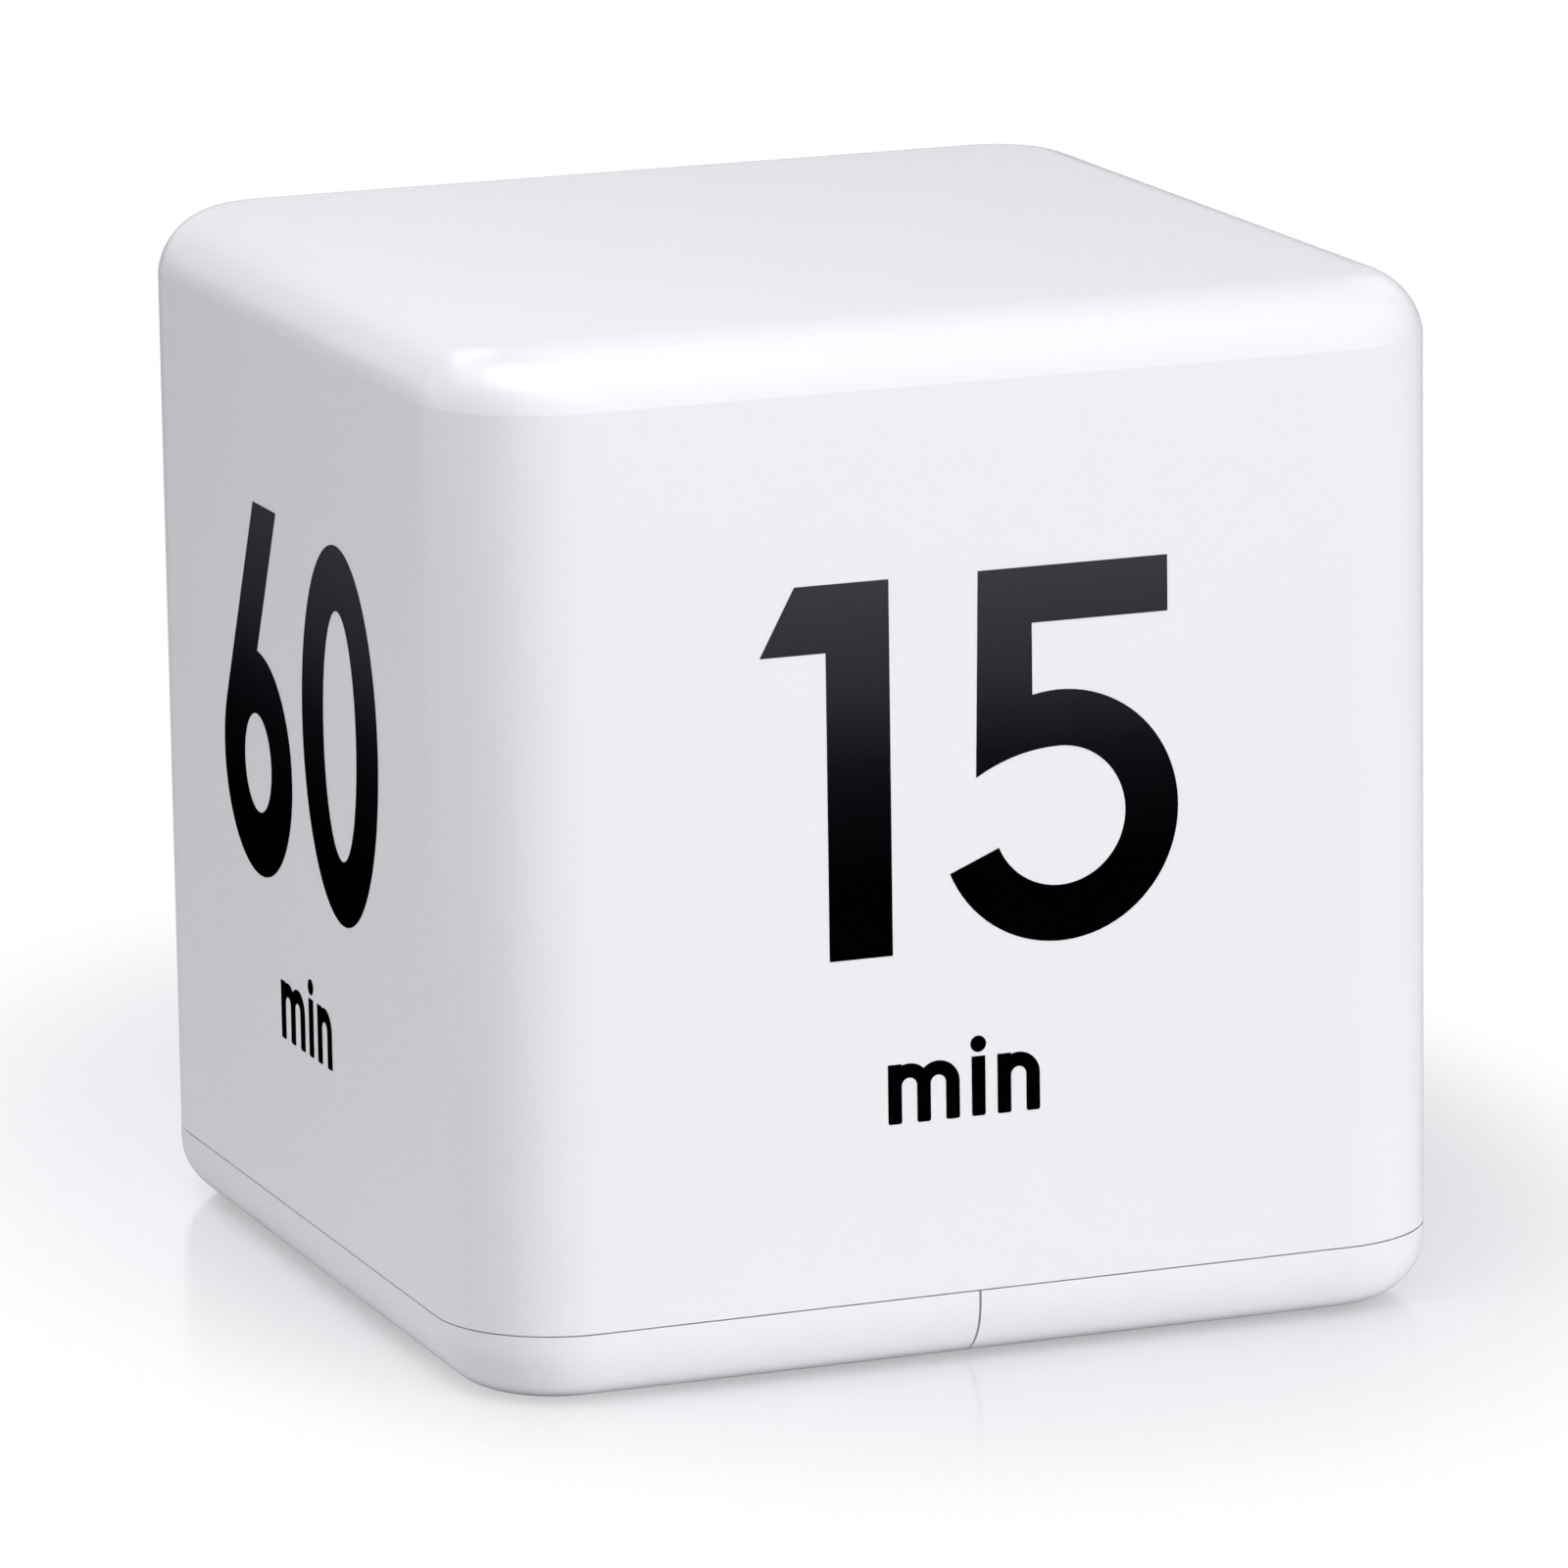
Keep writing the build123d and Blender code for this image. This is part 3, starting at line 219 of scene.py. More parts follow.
# Painted shade: the glow under the painted shadow is a little weaker on the cube's right.
glow_with_painted_shade_right = between(tree, axes(tree, floor_place)["X"], -0.04, 0.045, 0.555, 0.50)
shadow_zone_glow = given_by(tree, "ShaderNodeEmission", {"Color": (0.98, 0.985, 1.0, 1.0), "Strength": glow_with_painted_shade_right})
painted_shadow_zone = given_by(tree, "ShaderNodeAddShader", {0: shadow_zone_diffuse, 1: shadow_zone_glow})
gloss = given_by(
    tree, "ShaderNodeBsdfGlossy", {"Color": (1.0, 1.0, 1.0, 1.0), "Roughness": 0.15}
)
grazing = given_by(tree, "ShaderNodeFresnel", {"IOR": 1.62})
polished = mixed(tree, grazing, painted_shadow_zone, gloss)
from_shadow_middle = given_by(
    tree, "ShaderNodeMapping",
    {
        "Vector": floor_place,
        "Location": (-painted_shadow_middle[0] / painted_shadow_size[0], -painted_shadow_middle[1] / painted_shadow_size[1], 0.0),
        "Scale": (1.0 / painted_shadow_size[0], 1.0 / painted_shadow_size[1], 0.0),
    },
)
reach_squared = add(
    tree, "ShaderNodeVectorMath", {0: from_shadow_middle, 1: from_shadow_middle}, operation="DOT_PRODUCT"
).outputs["Value"]
# The painted shadow gives way to the even white outside the ellipse.
painted_shadow_fade = between(tree, reach_squared, shadow_fade_start, shadow_fade_end, 0.0, 1.0, "SMOOTHSTEP")
white_board = given_by(
    tree, "ShaderNodeEmission", {"Color": (1.0, 1.0, 1.0, 1.0), "Strength": 1.0}
)
above = mixed(tree, seen_directly(tree), plain, mixed(tree, painted_shadow_fade, polished, white_board))
clear = given_by(tree, "ShaderNodeBsdfTransparent")
underneath = add(tree, "ShaderNodeNewGeometry").outputs["Backfacing"]
passed = add(tree, "ShaderNodeLightPath").outputs["Transparent Depth"]
from_below = given_by(
    tree, "ShaderNodeMath", {0: underneath, 1: passed}, operation="MAXIMUM", use_clamp=True
)
add(tree, "ShaderNodeOutputMaterial", {"Surface": mixed(tree, from_below, above, clear)})

# Main shell
# Five sides of the cube in one injection moulding of white plastic, 2 mm thick, with a fine
# satin grain from the mould. Posts inside take the base screws, and catches take the snap hooks.
def corners_of(node):
    """The lowest and highest corner of a CAD piece, in whole thousandths of a millimetre."""
    return [np.round(np.array(corner) / millimetre, 3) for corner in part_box(node)]


# The prints stand a little proud of the shell, and a fine seam parts it from the cap below.
print_proud, seam, wall_thickness = 0.02, 0.06, 2.0
half_side, _, shell_top = corners_of("main_shell")[1] - (print_proud, 0.0, 0.0)
shell_low = corners_of("battery_door")[1][2] + seam
wall = wall_thickness - print_proud
inner_face, room_top = half_side - wall, shell_top - wall_thickness
corner_round, top_round, top_inset = 7.58, 4.496, 4.452
crease = 8.0  # degrees between the side and the top round where they meet
rim_round, inner_round = 0.05, 2.3
corner_steps, side_steps = 24, 12
top_rings, ceiling_rings = 12, 5


def arc(centre, radius, start, end, steps):
    """Insets and levels on an arc: the centre minus radius times the cosine, plus it times the
    sine."""
    angle = np.radians(np.linspace(start, end, steps + 1))
    return np.column_stack([centre[0] - radius * np.cos(angle), centre[1] + radius * np.sin(angle)])


def rounded_square_rings(half_width, corner, profile, shrink):
    """Rings of a rounded square: each base point minus the inset times its outward direction,
    shrunk towards the middle, at the profile's level. The base is four quarter circles joined
    by straight sides."""
    quarters = np.array([-90.0, 0.0, 90.0, 180.0])[:, None]
    angle = np.radians(quarters + 90.0 * np.linspace(0.0, 1.0, corner_steps + 1))
    turn = np.stack([np.cos(angle), np.sin(angle)], axis=2)
    middles = (half_width - corner) * np.array([(1, -1), (1, 1), (-1, 1), (-1, -1)])
    bends = middles[:, None] + corner * turn
    share = np.linspace(0.0, 1.0, side_steps + 1)[1:-1, None]
    to_next = np.roll(bends[:, 0], -1, axis=0) - bends[:, -1]
    base = np.concatenate([bends, bends[:, -1:] + share * to_next[:, None]], axis=1).reshape(-1, 2)
    side_ways = np.repeat(turn[:, -1:], side_steps - 1, axis=1)
    outward = np.concatenate([turn, side_ways], axis=1).reshape(-1, 2)
    flat = (base - profile[:, 0, None, None] * outward) * shrink[:, None, None]
    level = np.broadcast_to(profile[:, 1, None, None], (*flat.shape[:2], 1))
    return np.concatenate([flat, level], axis=2)


def turned_rings(profile, centre, count=32):
    """Rings of a turned shape: the centre plus the profile's radius times the cosine and sine of
    an angle that goes round once, at the profile's level."""
    angle = np.linspace(0.0, 2 * math.pi, count, endpoint=False)
    x = centre[0] + np.outer(profile[:, 0], np.cos(angle))
    y = centre[1] + np.outer(profile[:, 0], np.sin(angle))
    return np.stack([x, y, np.broadcast_to(profile[:, 1, None], x.shape)], axis=2)


def skin(rings):
    """Points and faces of a closed skin: ring after ring joined by four-sided faces, with its
    first and last ring drawn together in one point each."""
    count, around = rings.shape[:2]
    points = np.vstack(
        [rings[0].mean(0)[None], rings[1:-1].reshape(-1, 3), rings[-1].mean(0)[None]]
    )
    here = 1 + np.arange(around)
    after = np.roll(here, -1)
    rows = (np.arange(count - 3) * around)[:, None]
    quads = np.stack([here + rows, here + rows + around, after + rows + around, after + rows], 2)
    last_row = (count - 3) * around
    start = np.column_stack([np.zeros(around, int), here, after])
    end = np.column_stack([np.full(around, len(points) - 1), after + last_row, here + last_row])
    return points, quads.reshape(-1, 4).tolist() + start.tolist() + end.tolist()


def bar(low, high):
    """Points and faces of a straight bar between its lowest and highest corner."""
    corners = np.array([(i & 1, i >> 1 & 1, i >> 2 & 1) for i in range(8)], float)
    points = np.array(low) + corners * (np.array(high) - np.array(low))
    faces = [(0, 2, 3, 1), (4, 5, 7, 6), (0, 1, 5, 4), (2, 6, 7, 3), (0, 4, 6, 2), (1, 3, 7, 5)]
    return points, [list(face) for face in faces]


def make_piece(name, shapes, finish, body="housing", replaced=(), sharp_angle=40):
    """One piece from several skins in millimetres, smooth but for its sharp edges."""
    points, faces, start = [], [], 0
    for shape_points, shape_faces in shapes:
        points.append(shape_points)
        faces += [[corner + start for corner in face] for face in shape_faces]
        start += len(shape_points)
    mesh = bpy.data.meshes.new(name)
    mesh.from_pydata((np.vstack(points) * millimetre).tolist(), [], faces)
    mesh.polygons.foreach_set("use_smooth", np.ones(len(mesh.polygons), bool))
    mesh.set_sharp_from_angle(angle=math.radians(sharp_angle))
    mesh.materials.append(finish)
    piece = bpy.data.objects.new(name, mesh)
    scene.collection.objects.link(piece)
    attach(piece, body)
    if replaced:
        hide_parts(*replaced)
    return piece


grain = bpy.data.node_groups.new("mould_grain", "ShaderNodeTree")
for socket in ("Fine scale", "Broad scale"):
    grain.interface.new_socket(name=socket, in_out="INPUT", socket_type="NodeSocketFloat")
for socket in ("Height", "Blotch"):
    grain.interface.new_socket(name=socket, in_out="OUTPUT", socket_type="NodeSocketFloat")
scales = add(grain, "NodeGroupInput").outputs
grain_place = place_on(grain)
fine_noise = given_by(
    grain, "ShaderNodeTexNoise",
    {"Vector": grain_place, "Scale": scales[0], "Detail": 3.0, "Roughness": 0.6},
)
broad_noise = given_by(
    grain, "ShaderNodeTexNoise", {"Vector": grain_place, "Scale": scales[1], "Detail": 4.0}
)
add(grain, "NodeGroupOutput", {0: fine_noise, 1: broad_noise})


def grained(tree, fine_scale, broad_scale):
    """The fine height and the broad blotch of the mould grain, in one material."""
    texture = add(
        tree, "ShaderNodeGroup", {"Fine scale": fine_scale, "Broad scale": broad_scale},
        node_tree=grain,
    )
    return texture.outputs["Height"], texture.outputs["Blotch"]


def new_finish(name, constants=()):
    """A new material, its node tree and its shader with the values that don't vary."""
    made = bpy.data.materials.new(name)
    made.use_nodes = True
    shader = made.node_tree.nodes["Principled BSDF"]
    for socket, value in dict(constants).items():
        shader.inputs[socket].default_value = value
    return made, made.node_tree, shader


def blend_colour(tree, share, first, second):
    """A colour between two, by a share from zero to one."""
    first, second = (
        tone if isinstance(tone, bpy.types.NodeSocket) else (*tone, 1.0)
        for tone in (first, second)
    )
    return add(
        tree, "ShaderNodeMix", {0: share, 6: first, 7: second}, data_type="RGBA"
    ).outputs[2]


def follow(tree, noise, low, high):
    """A value that follows a noise, whose levels lie mostly between 0.3 and 0.7."""
    return between(tree, noise, 0.3, 0.7, low, high)


def surface(tree, shader, colour, roughness, height=None, depth=0.0):
    """The colour and roughness of a finish, and a relief of a depth in millimetres."""
    tree.links.new(colour, shader.inputs["Base Color"])
    tree.links.new(roughness, shader.inputs["Roughness"])
    if height:
        relief = {"Height": height, "Distance": depth * millimetre}
        tree.links.new(given_by(tree, "ShaderNodeBump", relief), shader.inputs["Normal"])


def moulded(
    name, colour, deeper, roughness, grain_size=0.25, grain_depth=0.006, broad_size=14.0
):
    """Moulded plastic: two near tones and a little change of gloss over broad patches, and a
    fine grain from the mould. Sizes are in millimetres."""
    made, tree, shader = new_finish(name, {"IOR": 1.46})
    fine, blotch = grained(tree, 1000.0 / grain_size, 1000.0 / broad_size)
    tone = blend_colour(tree, blotch, colour, deeper)
    surface(tree, shader, tone, follow(tree, blotch, *roughness), fine, grain_depth)
    return made


white, shaded_white, satin = (0.815, 0.820, 0.850), (0.800, 0.806, 0.836), (0.205, 0.262)
shell_plastic = moulded("shell_plastic", white, shaded_white, satin)
crease_level = shell_top - top_round * (1 - math.sin(math.radians(crease)))
side_levels = np.linspace(crease_level, shell_low + rim_round, 12)[1:]
shell_profile = np.vstack([
    [(top_inset, shell_top)] * top_rings,
    arc((top_inset, shell_top - top_round), top_round, 90, crease, steps=20),
    np.column_stack([np.zeros(len(side_levels)), side_levels]),
    arc((rim_round, shell_low + rim_round), rim_round, 0, -90, steps=4)[1:],
    arc((wall - rim_round, shell_low + rim_round), rim_round, -90, -180, steps=4),
    arc((wall + inner_round, room_top - inner_round), inner_round, 0, 90, steps=16),
    [(wall + inner_round, room_top)] * ceiling_rings,
])

# The flat top and the ceiling are rings of the same square, shrunk towards the middle.
shell_shrink = np.ones(len(shell_profile))
shell_shrink[:top_rings] = np.linspace(0.0, 1.0, top_rings + 1)[:-1]
shell_shrink[-ceiling_rings:] = np.linspace(1.0, 0.0, ceiling_rings + 1)[1:]
shell_shapes = [skin(rounded_square_rings(half_side, corner_round, shell_profile, shell_shrink))]
post_profile = np.array([
    (0.0, 20.5), (1.0, 20.5), (2.9, 20.5), (3.2, 20.2), (3.2, 6.7), (3.0, 6.5), (1.3, 6.5),
    (1.1, 6.7), (1.1, 14.5), (0.6, 14.5), (0.0, 14.5),
])
post_reach, post_inner, post_sides = 25.0, 4.5, 56
rib_half, rib_low, rib_high = 0.6, 6.8, 20.45
rib_end = inner_face + 0.15
for post_x in (post_reach, post_inner):
    for toward in (-1, 1):
        post_y = post_reach * toward
        shell_shapes.append(skin(turned_rings(post_profile, (post_x, post_y), post_sides)))
        near, far = sorted((post_y, rib_end * toward))
        shell_shapes.append(
            bar((post_x - rib_half, near, rib_low), (post_x + rib_half, far, rib_high))
        )
        if post_x == post_reach:
            shell_shapes.append(
                bar((post_x, post_y - rib_half, rib_low), (rib_end, post_y + rib_half, rib_high))
            )
catch_place, catch_half, catch_depth = 14.0, 4.2, 1.0
catch_low, catch_high = 9.9, 11.1
for catch_y in (-catch_place, catch_place):
    shell_shapes.append(bar(
        (-rib_end, catch_y - catch_half, catch_low),
        (catch_depth - inner_face, catch_y + catch_half, catch_high),
    ))
make_piece(
    "shell", shell_shapes, shell_plastic, replaced=["main_shell"],
    sharp_angle=crease - 0.5,
)

# Printed figures
# The times and the word min, pad printed on the four upright sides in black ink. The ink has no
# gloss; a painted reflection in its colour makes it a little greyer towards the top of the figures.
# Painted reflection: between these heights the ink's colour turns from black to grey, as if it
# mirrored a lit room.
painted_reflection_from, painted_reflection_to = 0.0300, 0.0483
ink_tones_and_painted_reflection = [
    (0.0, (0.0004, 0.0004, 0.0006)), (0.27, (0.0030, 0.0031, 0.0042)),
    (0.40, (0.0056, 0.0060, 0.0080)), (0.53, (0.0130, 0.0137, 0.0178)),
    (0.66, (0.0225, 0.0235, 0.0290)), (1.0, (0.0400, 0.0412, 0.0480)),
]
weld_reach, smooth_up_to = 1e-6, math.radians(28)


def dress(node, finish):
    """A CAD piece in its finish, its loose triangles welded and shaded smooth between edges."""
    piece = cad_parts[node]
    piece.data.materials.clear()
    piece.data.materials.append(finish)
    piece.data.polygons.foreach_set("use_smooth", np.ones(len(piece.data.polygons), bool))
    weld = piece.modifiers.new("weld", "WELD")
    weld.merge_threshold = weld_reach
    edges = piece.modifiers.new("edges", "EDGE_SPLIT")
    edges.split_angle = smooth_up_to
    even = piece.modifiers.new("even", "WEIGHTED_NORMAL")
    even.keep_sharp = True


# The ink has no gloss of its own; its colour holds a painted reflection that greys it towards the
# top.
ink, tree, shader = new_finish("printing_ink_with_painted_reflection", {"Specular IOR Level": 0.0})
ink_level = axes(tree, place_on(tree))["Z"]
painted_reflection_share = between(tree, ink_level, painted_reflection_from, painted_reflection_to, 0.0, 1.0)
ink_painted_reflection_ramp = add(tree, "ShaderNodeValToRGB", {0: painted_reflection_share})
ramp = ink_painted_reflection_ramp.color_ramp
for place, tone in ink_tones_and_painted_reflection[1:-1]:
    ramp.elements.new(place)
for element, (place, tone) in zip(ramp.elements, ink_tones_and_painted_reflection):
    element.position = place
    element.color = (*tone, 1.0)
fine, blotch = grained(tree, 6000.0, 120.0)
surface(tree, shader, ink_painted_reflection_ramp.outputs[0], follow(tree, blotch, 0.30, 0.42), fine, 0.003)
for time in ("15", "60", "20", "30"):
    dress(f"number_{time}", ink)

# Base cap
# The two halves of the rounded base: the fixed half is one moulding with the deck and the
# battery bay, the other is the sliding battery door. Same plastic as the shell.
cap_plastic = moulded("cap_plastic", white, shaded_white, satin)
dress("bottom_housing", cap_plastic)
dress("battery_door", cap_plastic)

# Switch marks
# The words ON and OFF on the base beside the finger dish, pad printed in grey ink. They read
# from below, with the cube turned over.
mark_depth, word_height = 0.02, 2.4
word_x = np.mean(corners_of("switch_knob"), axis=0)[0]
on_y, off_y = 19.9, 9.3
mark_grey = moulded(
    "mark_grey", (0.10, 0.10, 0.105), (0.085, 0.085, 0.09), (0.45, 0.55), grain_size=0.12
)


def printed_word(name, word, centre, finish):
    """A thin word on the base: across the page is -X, up the page is +Y, and it faces down."""
    letters = bpy.data.curves.new(name, "FONT")
    letters.body = word
    letters.size = word_height
    letters.align_x = "CENTER"
    letters.align_y = "CENTER"
    letters.extrude = mark_depth / 2
    letters.resolution_u = 6
    drawn = bpy.data.objects.new(name + "-drawn", letters)
    scene.collection.objects.link(drawn)
    bpy.context.view_layer.update()
    settled = drawn.evaluated_get(bpy.context.evaluated_depsgraph_get())
    mesh = bpy.data.meshes.new_from_object(settled)
    bpy.data.objects.remove(drawn)
    turned_over = Matrix(((-1, 0, 0, centre[0]), (0, 1, 0, centre[1]), (0, 0, -1, 0), (0, 0, 0, 1)))
    mesh.transform(Matrix.Scale(millimetre, 4) @ turned_over)
    mesh.name = name
    mesh.materials.clear()
    mesh.materials.append(finish)
    piece = bpy.data.objects.new(name, mesh)
    scene.collection.objects.link(piece)
    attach(piece, "housing")


printed_word("mark_on", "ON", (word_x, on_y), mark_grey)
printed_word("mark_off", "OFF", (word_x, off_y), mark_grey)

# Foam
# Closed-cell foam, die cut from sheet: a pad on the door that presses the cells, and a ring
# that seals the buzzer to the base.
foam, tree, shader = new_finish("foam")
foam_place = place_on(tree)
cell_walls = add(
    tree, "ShaderNodeTexVoronoi", {"Vector": foam_place, "Scale": 3200.0}
).outputs["Distance"]
foam_patches = given_by(tree, "ShaderNodeTexNoise", {"Vector": foam_place, "Scale": 500.0})
foam_tone = blend_colour(tree, cell_walls, (0.035, 0.035, 0.038), (0.085, 0.085, 0.09))
surface(tree, shader, foam_tone, follow(tree, foam_patches, 0.85, 0.97), cell_walls, 0.06)
dress("door_foam_pad", foam)
dress("buzzer_gasket", foam)

# Cells
# Two AAA cells, each a rolled steel can in a printed shrink jacket: graphite with a silver
# shoulder at the plus end. Plus and minus marks are printed on the side that faces the door.
cell_low, cell_high = corners_of("aaa_cell_1")
cell_radius = (cell_high[0] - cell_low[0]) / 2
cell_axis_level = (cell_high[2] + cell_low[2]) / 2
cell_tail = -cell_low[1]
cell_sides, patch_columns = 48, 9
plus_place, minus_place = 39.4, 5.0
stroke_length, stroke_width = 2.6, 0.6
patch_under, patch_over = -0.05, 0.015
shoulder_edge, line_start, line_end = (34.40, 34.55), (33.10, 33.18), (33.60, 33.68)
jacket_profile = np.array([
    (0.0, 43.40), (3.9, 43.40), (4.35, 43.62), (4.75, 43.60), (5.02, 43.45), (5.19, 43.15),
    (5.25, 42.75), (5.25, 36.0), (5.25, 35.0), (5.25, 34.2), (5.25, 25.0), (5.25, 14.0),
    (5.25, 6.0), (5.25, 0.75), (5.19, 0.38), (5.02, 0.14), (4.75, 0.03), (4.45, 0.06),
    (4.3, 0.25), (0.0, 0.25),
])
plus_end_profile = np.array([
    (0.0, 44.5), (1.55, 44.5), (1.80, 44.42), (1.90, 44.20), (1.92, 43.80), (2.10, 43.64),
    (2.60, 43.60), (3.60, 43.58), (3.95, 43.48), (4.0, 43.2), (0.0, 43.2),
])
minus_end_profile = np.array([
    (0.0, 0.5), (4.2, 0.5), (4.25, 0.12), (4.15, 0.02), (3.9, 0.0), (3.2, 0.0), (3.0, 0.08),
    (2.6, 0.08), (2.4, 0.0), (0.0, 0.0),
])


def laid_along_y(rings, x, toward):
    """A turned shape laid down: its level runs along Y from the cell's tail, its y upwards."""
    along = toward * (rings[..., 2] - cell_tail)
    return np.stack([x + rings[..., 0], along, cell_axis_level - toward * rings[..., 1]], 2)


def on_the_jacket(x, toward, middle, across, along):
    """A thin printed patch bent on the jacket's lower side: the angle from straight down is the
    distance across divided by the radius."""
    count = patch_columns
    angle = np.linspace(-across / 2, across / 2, count) / cell_radius
    edge = np.array([middle - along / 2, middle + along / 2])
    radius = cell_radius + np.array([patch_under, patch_over])
    grid = np.meshgrid(radius, edge, angle, indexing="ij")
    reach, run, turn = (part.ravel() for part in grid)
    points = np.column_stack([
        x + reach * np.sin(turn), toward * (run - cell_tail), cell_axis_level - reach * np.cos(turn)
    ])
    rows = np.arange(count - 1)
    inner_low, inner_high, outer_low, outer_high = (rows + part * count for part in range(4))
    sheets = [
        np.column_stack([outer_low, outer_low + 1, outer_high + 1, outer_high]),
        np.column_stack([inner_low, inner_high, inner_high + 1, inner_low + 1]),
        np.column_stack([inner_low, inner_low + 1, outer_low + 1, outer_low]),
        np.column_stack([inner_high, outer_high, outer_high + 1, inner_high + 1]),
        np.array([[0, 2, 3, 1]]) * count,
        np.array([[1, 2, 4, 3]]) * count - 1,
    ]
    return points, [face[::toward] for sheet in sheets for face in sheet.tolist()]


jacket, tree, shader = new_finish("cell_jacket", {"Metallic": 0.75})
run_along = add(tree, "ShaderNodeAttribute", attribute_name="along").outputs["Fac"]
shoulder = between(tree, run_along, *shoulder_edge, 0.0, 1.0)
line = reckon(
    tree, "MULTIPLY",
    between(tree, run_along, *line_start, 0.0, 1.0), between(tree, run_along, *line_end, 1.0, 0.0),
)
silver = reckon(tree, "MAXIMUM", shoulder, line)
blotch = grained(tree, 2500.0, 150.0)[1]
jacket_tone = blend_colour(tree, silver, (0.045, 0.052, 0.062), (0.62, 0.63, 0.65))
surface(tree, shader, jacket_tone, follow(tree, blotch, 0.24, 0.34), blotch, 0.04)


def metal(name, colour, deeper, roughness, streak=(900.0, 900.0, 120.0), depth=0.002):
    """Bare or plated metal: two near tones, and streaks from rolling or turning that change its
    gloss and leave a slight relief. The streak is the noise's scale along X, Y and Z."""
    made, tree, shader = new_finish(name, {"Metallic": 1.0})
    drawn = given_by(tree, "ShaderNodeMapping", {"Vector": place_on(tree), "Scale": streak})
    streaks = given_by(tree, "ShaderNodeTexNoise", {"Vector": drawn, "Scale": 4.0, "Detail": 4.0})
    tone = blend_colour(tree, streaks, colour, deeper)
    surface(tree, shader, tone, follow(tree, streaks, *roughness), streaks, depth)
    return made


nickel = metal("nickel_plate", (0.70, 0.69, 0.66), (0.60, 0.59, 0.56), (0.20, 0.32))
mark_white = moulded(
    "mark_white", (0.75, 0.75, 0.76), (0.70, 0.70, 0.71), (0.40, 0.50), grain_size=0.12
)
for number, toward in ((1, 1), (2, -1)):
    cell_x = np.mean(corners_of(f"aaa_cell_{number}"), axis=0)[0]
    sleeve_shape, *end_shapes = [
        skin(laid_along_y(turned_rings(profile, (0.0, 0.0), cell_sides), cell_x, toward))
        for profile in (jacket_profile, plus_end_profile, minus_end_profile)
    ]
    wrapped = make_piece(
        f"cell_{number}", [sleeve_shape], jacket,
        replaced=[f"aaa_cell_{number}"],
    )
    along = sleeve_shape[0][:, 1] * toward + cell_tail
    run = wrapped.data.attributes.new("along", "FLOAT", "POINT")
    run.data.foreach_set("value", along.astype(np.float32))
    make_piece(f"cell_{number}_ends", end_shapes, nickel)
    plus = [
        on_the_jacket(cell_x, toward, plus_place, stroke_length, stroke_width),
        on_the_jacket(cell_x, toward, plus_place, stroke_width, stroke_length),
    ]
    minus = [on_the_jacket(cell_x, toward, minus_place, stroke_length, stroke_width)]
    make_piece(f"cell_{number}_plus", plus, ink)
    make_piece(f"cell_{number}_minus", minus, mark_white)

# Contacts and springs
# Two spring plates and a bridge, pressed from nickel plated strip, and two conical springs wound
# from nickel plated wire that press on the cells' minus ends.
for contact in ("negative_terminal", "positive_terminal", "bridge_contact"):
    dress(contact, nickel)
spring_wire = metal(
    "spring_wire", (0.66, 0.66, 0.64), (0.52, 0.52, 0.51), (0.18, 0.30), (400.0, 400.0, 400.0)
)
for number in (1, 2):
    dress(f"contact_spring_{number}", spring_wire)

# Leads
# Two stranded leads in red and black vinyl, cut to length and bent by hand. They run from the
# contacts' tabs to the board and are soldered at both ends.
red_vinyl = moulded(
    "red_vinyl", (0.55, 0.018, 0.015), (0.47, 0.014, 0.012), (0.30, 0.42), 0.3, 0.004, 4.0
)
black_vinyl = moulded(
    "black_vinyl", (0.018, 0.018, 0.020), (0.013, 0.013, 0.015), (0.30, 0.42), 0.3, 0.004, 4.0
)
dress("red_lead", red_vinyl)
dress("black_lead", black_vinyl)
solder = metal(
    "solder", (0.62, 0.62, 0.61), (0.50, 0.50, 0.49), (0.16, 0.30), (250.0, 250.0, 250.0), 0.01
)
board_top = corners_of("main_board")[1][2]
red_pad, black_pad = (4.975, -12.6), (4.975, -9.8)
joint_profile = np.array([
    (0.0, 1.05), (0.45, 1.02), (0.66, 0.92), (0.78, 0.70), (0.88, 0.45), (1.05, 0.22),
    (1.30, 0.08), (1.35, 0.0), (1.2, -0.02), (0.0, -0.02),
])
joints = [skin(turned_rings(joint_profile + (0.0, board_top), pad)) for pad in (red_pad, black_pad)]
make_piece("lead_joints", joints, solder)

# Display
# A reflective grey-green liquid crystal glass behind a clear acrylic lens, held in a black frame
# on two strips of layered conductive rubber. Its segments show faintly while it is off.
display_middle = (-9.2, 15.6)
plate_thick = 0.03
plate_level = corners_of("display_glass")[0][2] - plate_thick / 2
digit_width, digit_height = 2.5, 5.6
segment_half, segment_gap = 0.24, 0.06
dot_half, dot_offset = 0.3, 1.3
digit_lefts = (-7.25, -3.65, 1.15, 4.75)
segment_ends = (
    ((0, 0), (1, 0)), ((0, 0.5), (1, 0.5)), ((0, 1), (1, 1)), ((0, 0), (0, 0.5)),
    ((1, 0), (1, 0.5)), ((0, 0.5), (0, 1)), ((1, 0.5), (1, 1)),
)

acrylic, tree, shader = new_finish("clear_acrylic", {"IOR": 1.49, "Transmission Weight": 1.0})
blotch = grained(tree, 900.0, 90.0)[1]
acrylic_tone = blend_colour(tree, blotch, (0.97, 0.98, 0.98), (0.94, 0.96, 0.95))
surface(tree, shader, acrylic_tone, follow(tree, blotch, 0.02, 0.05))
dress("display_lens", acrylic)

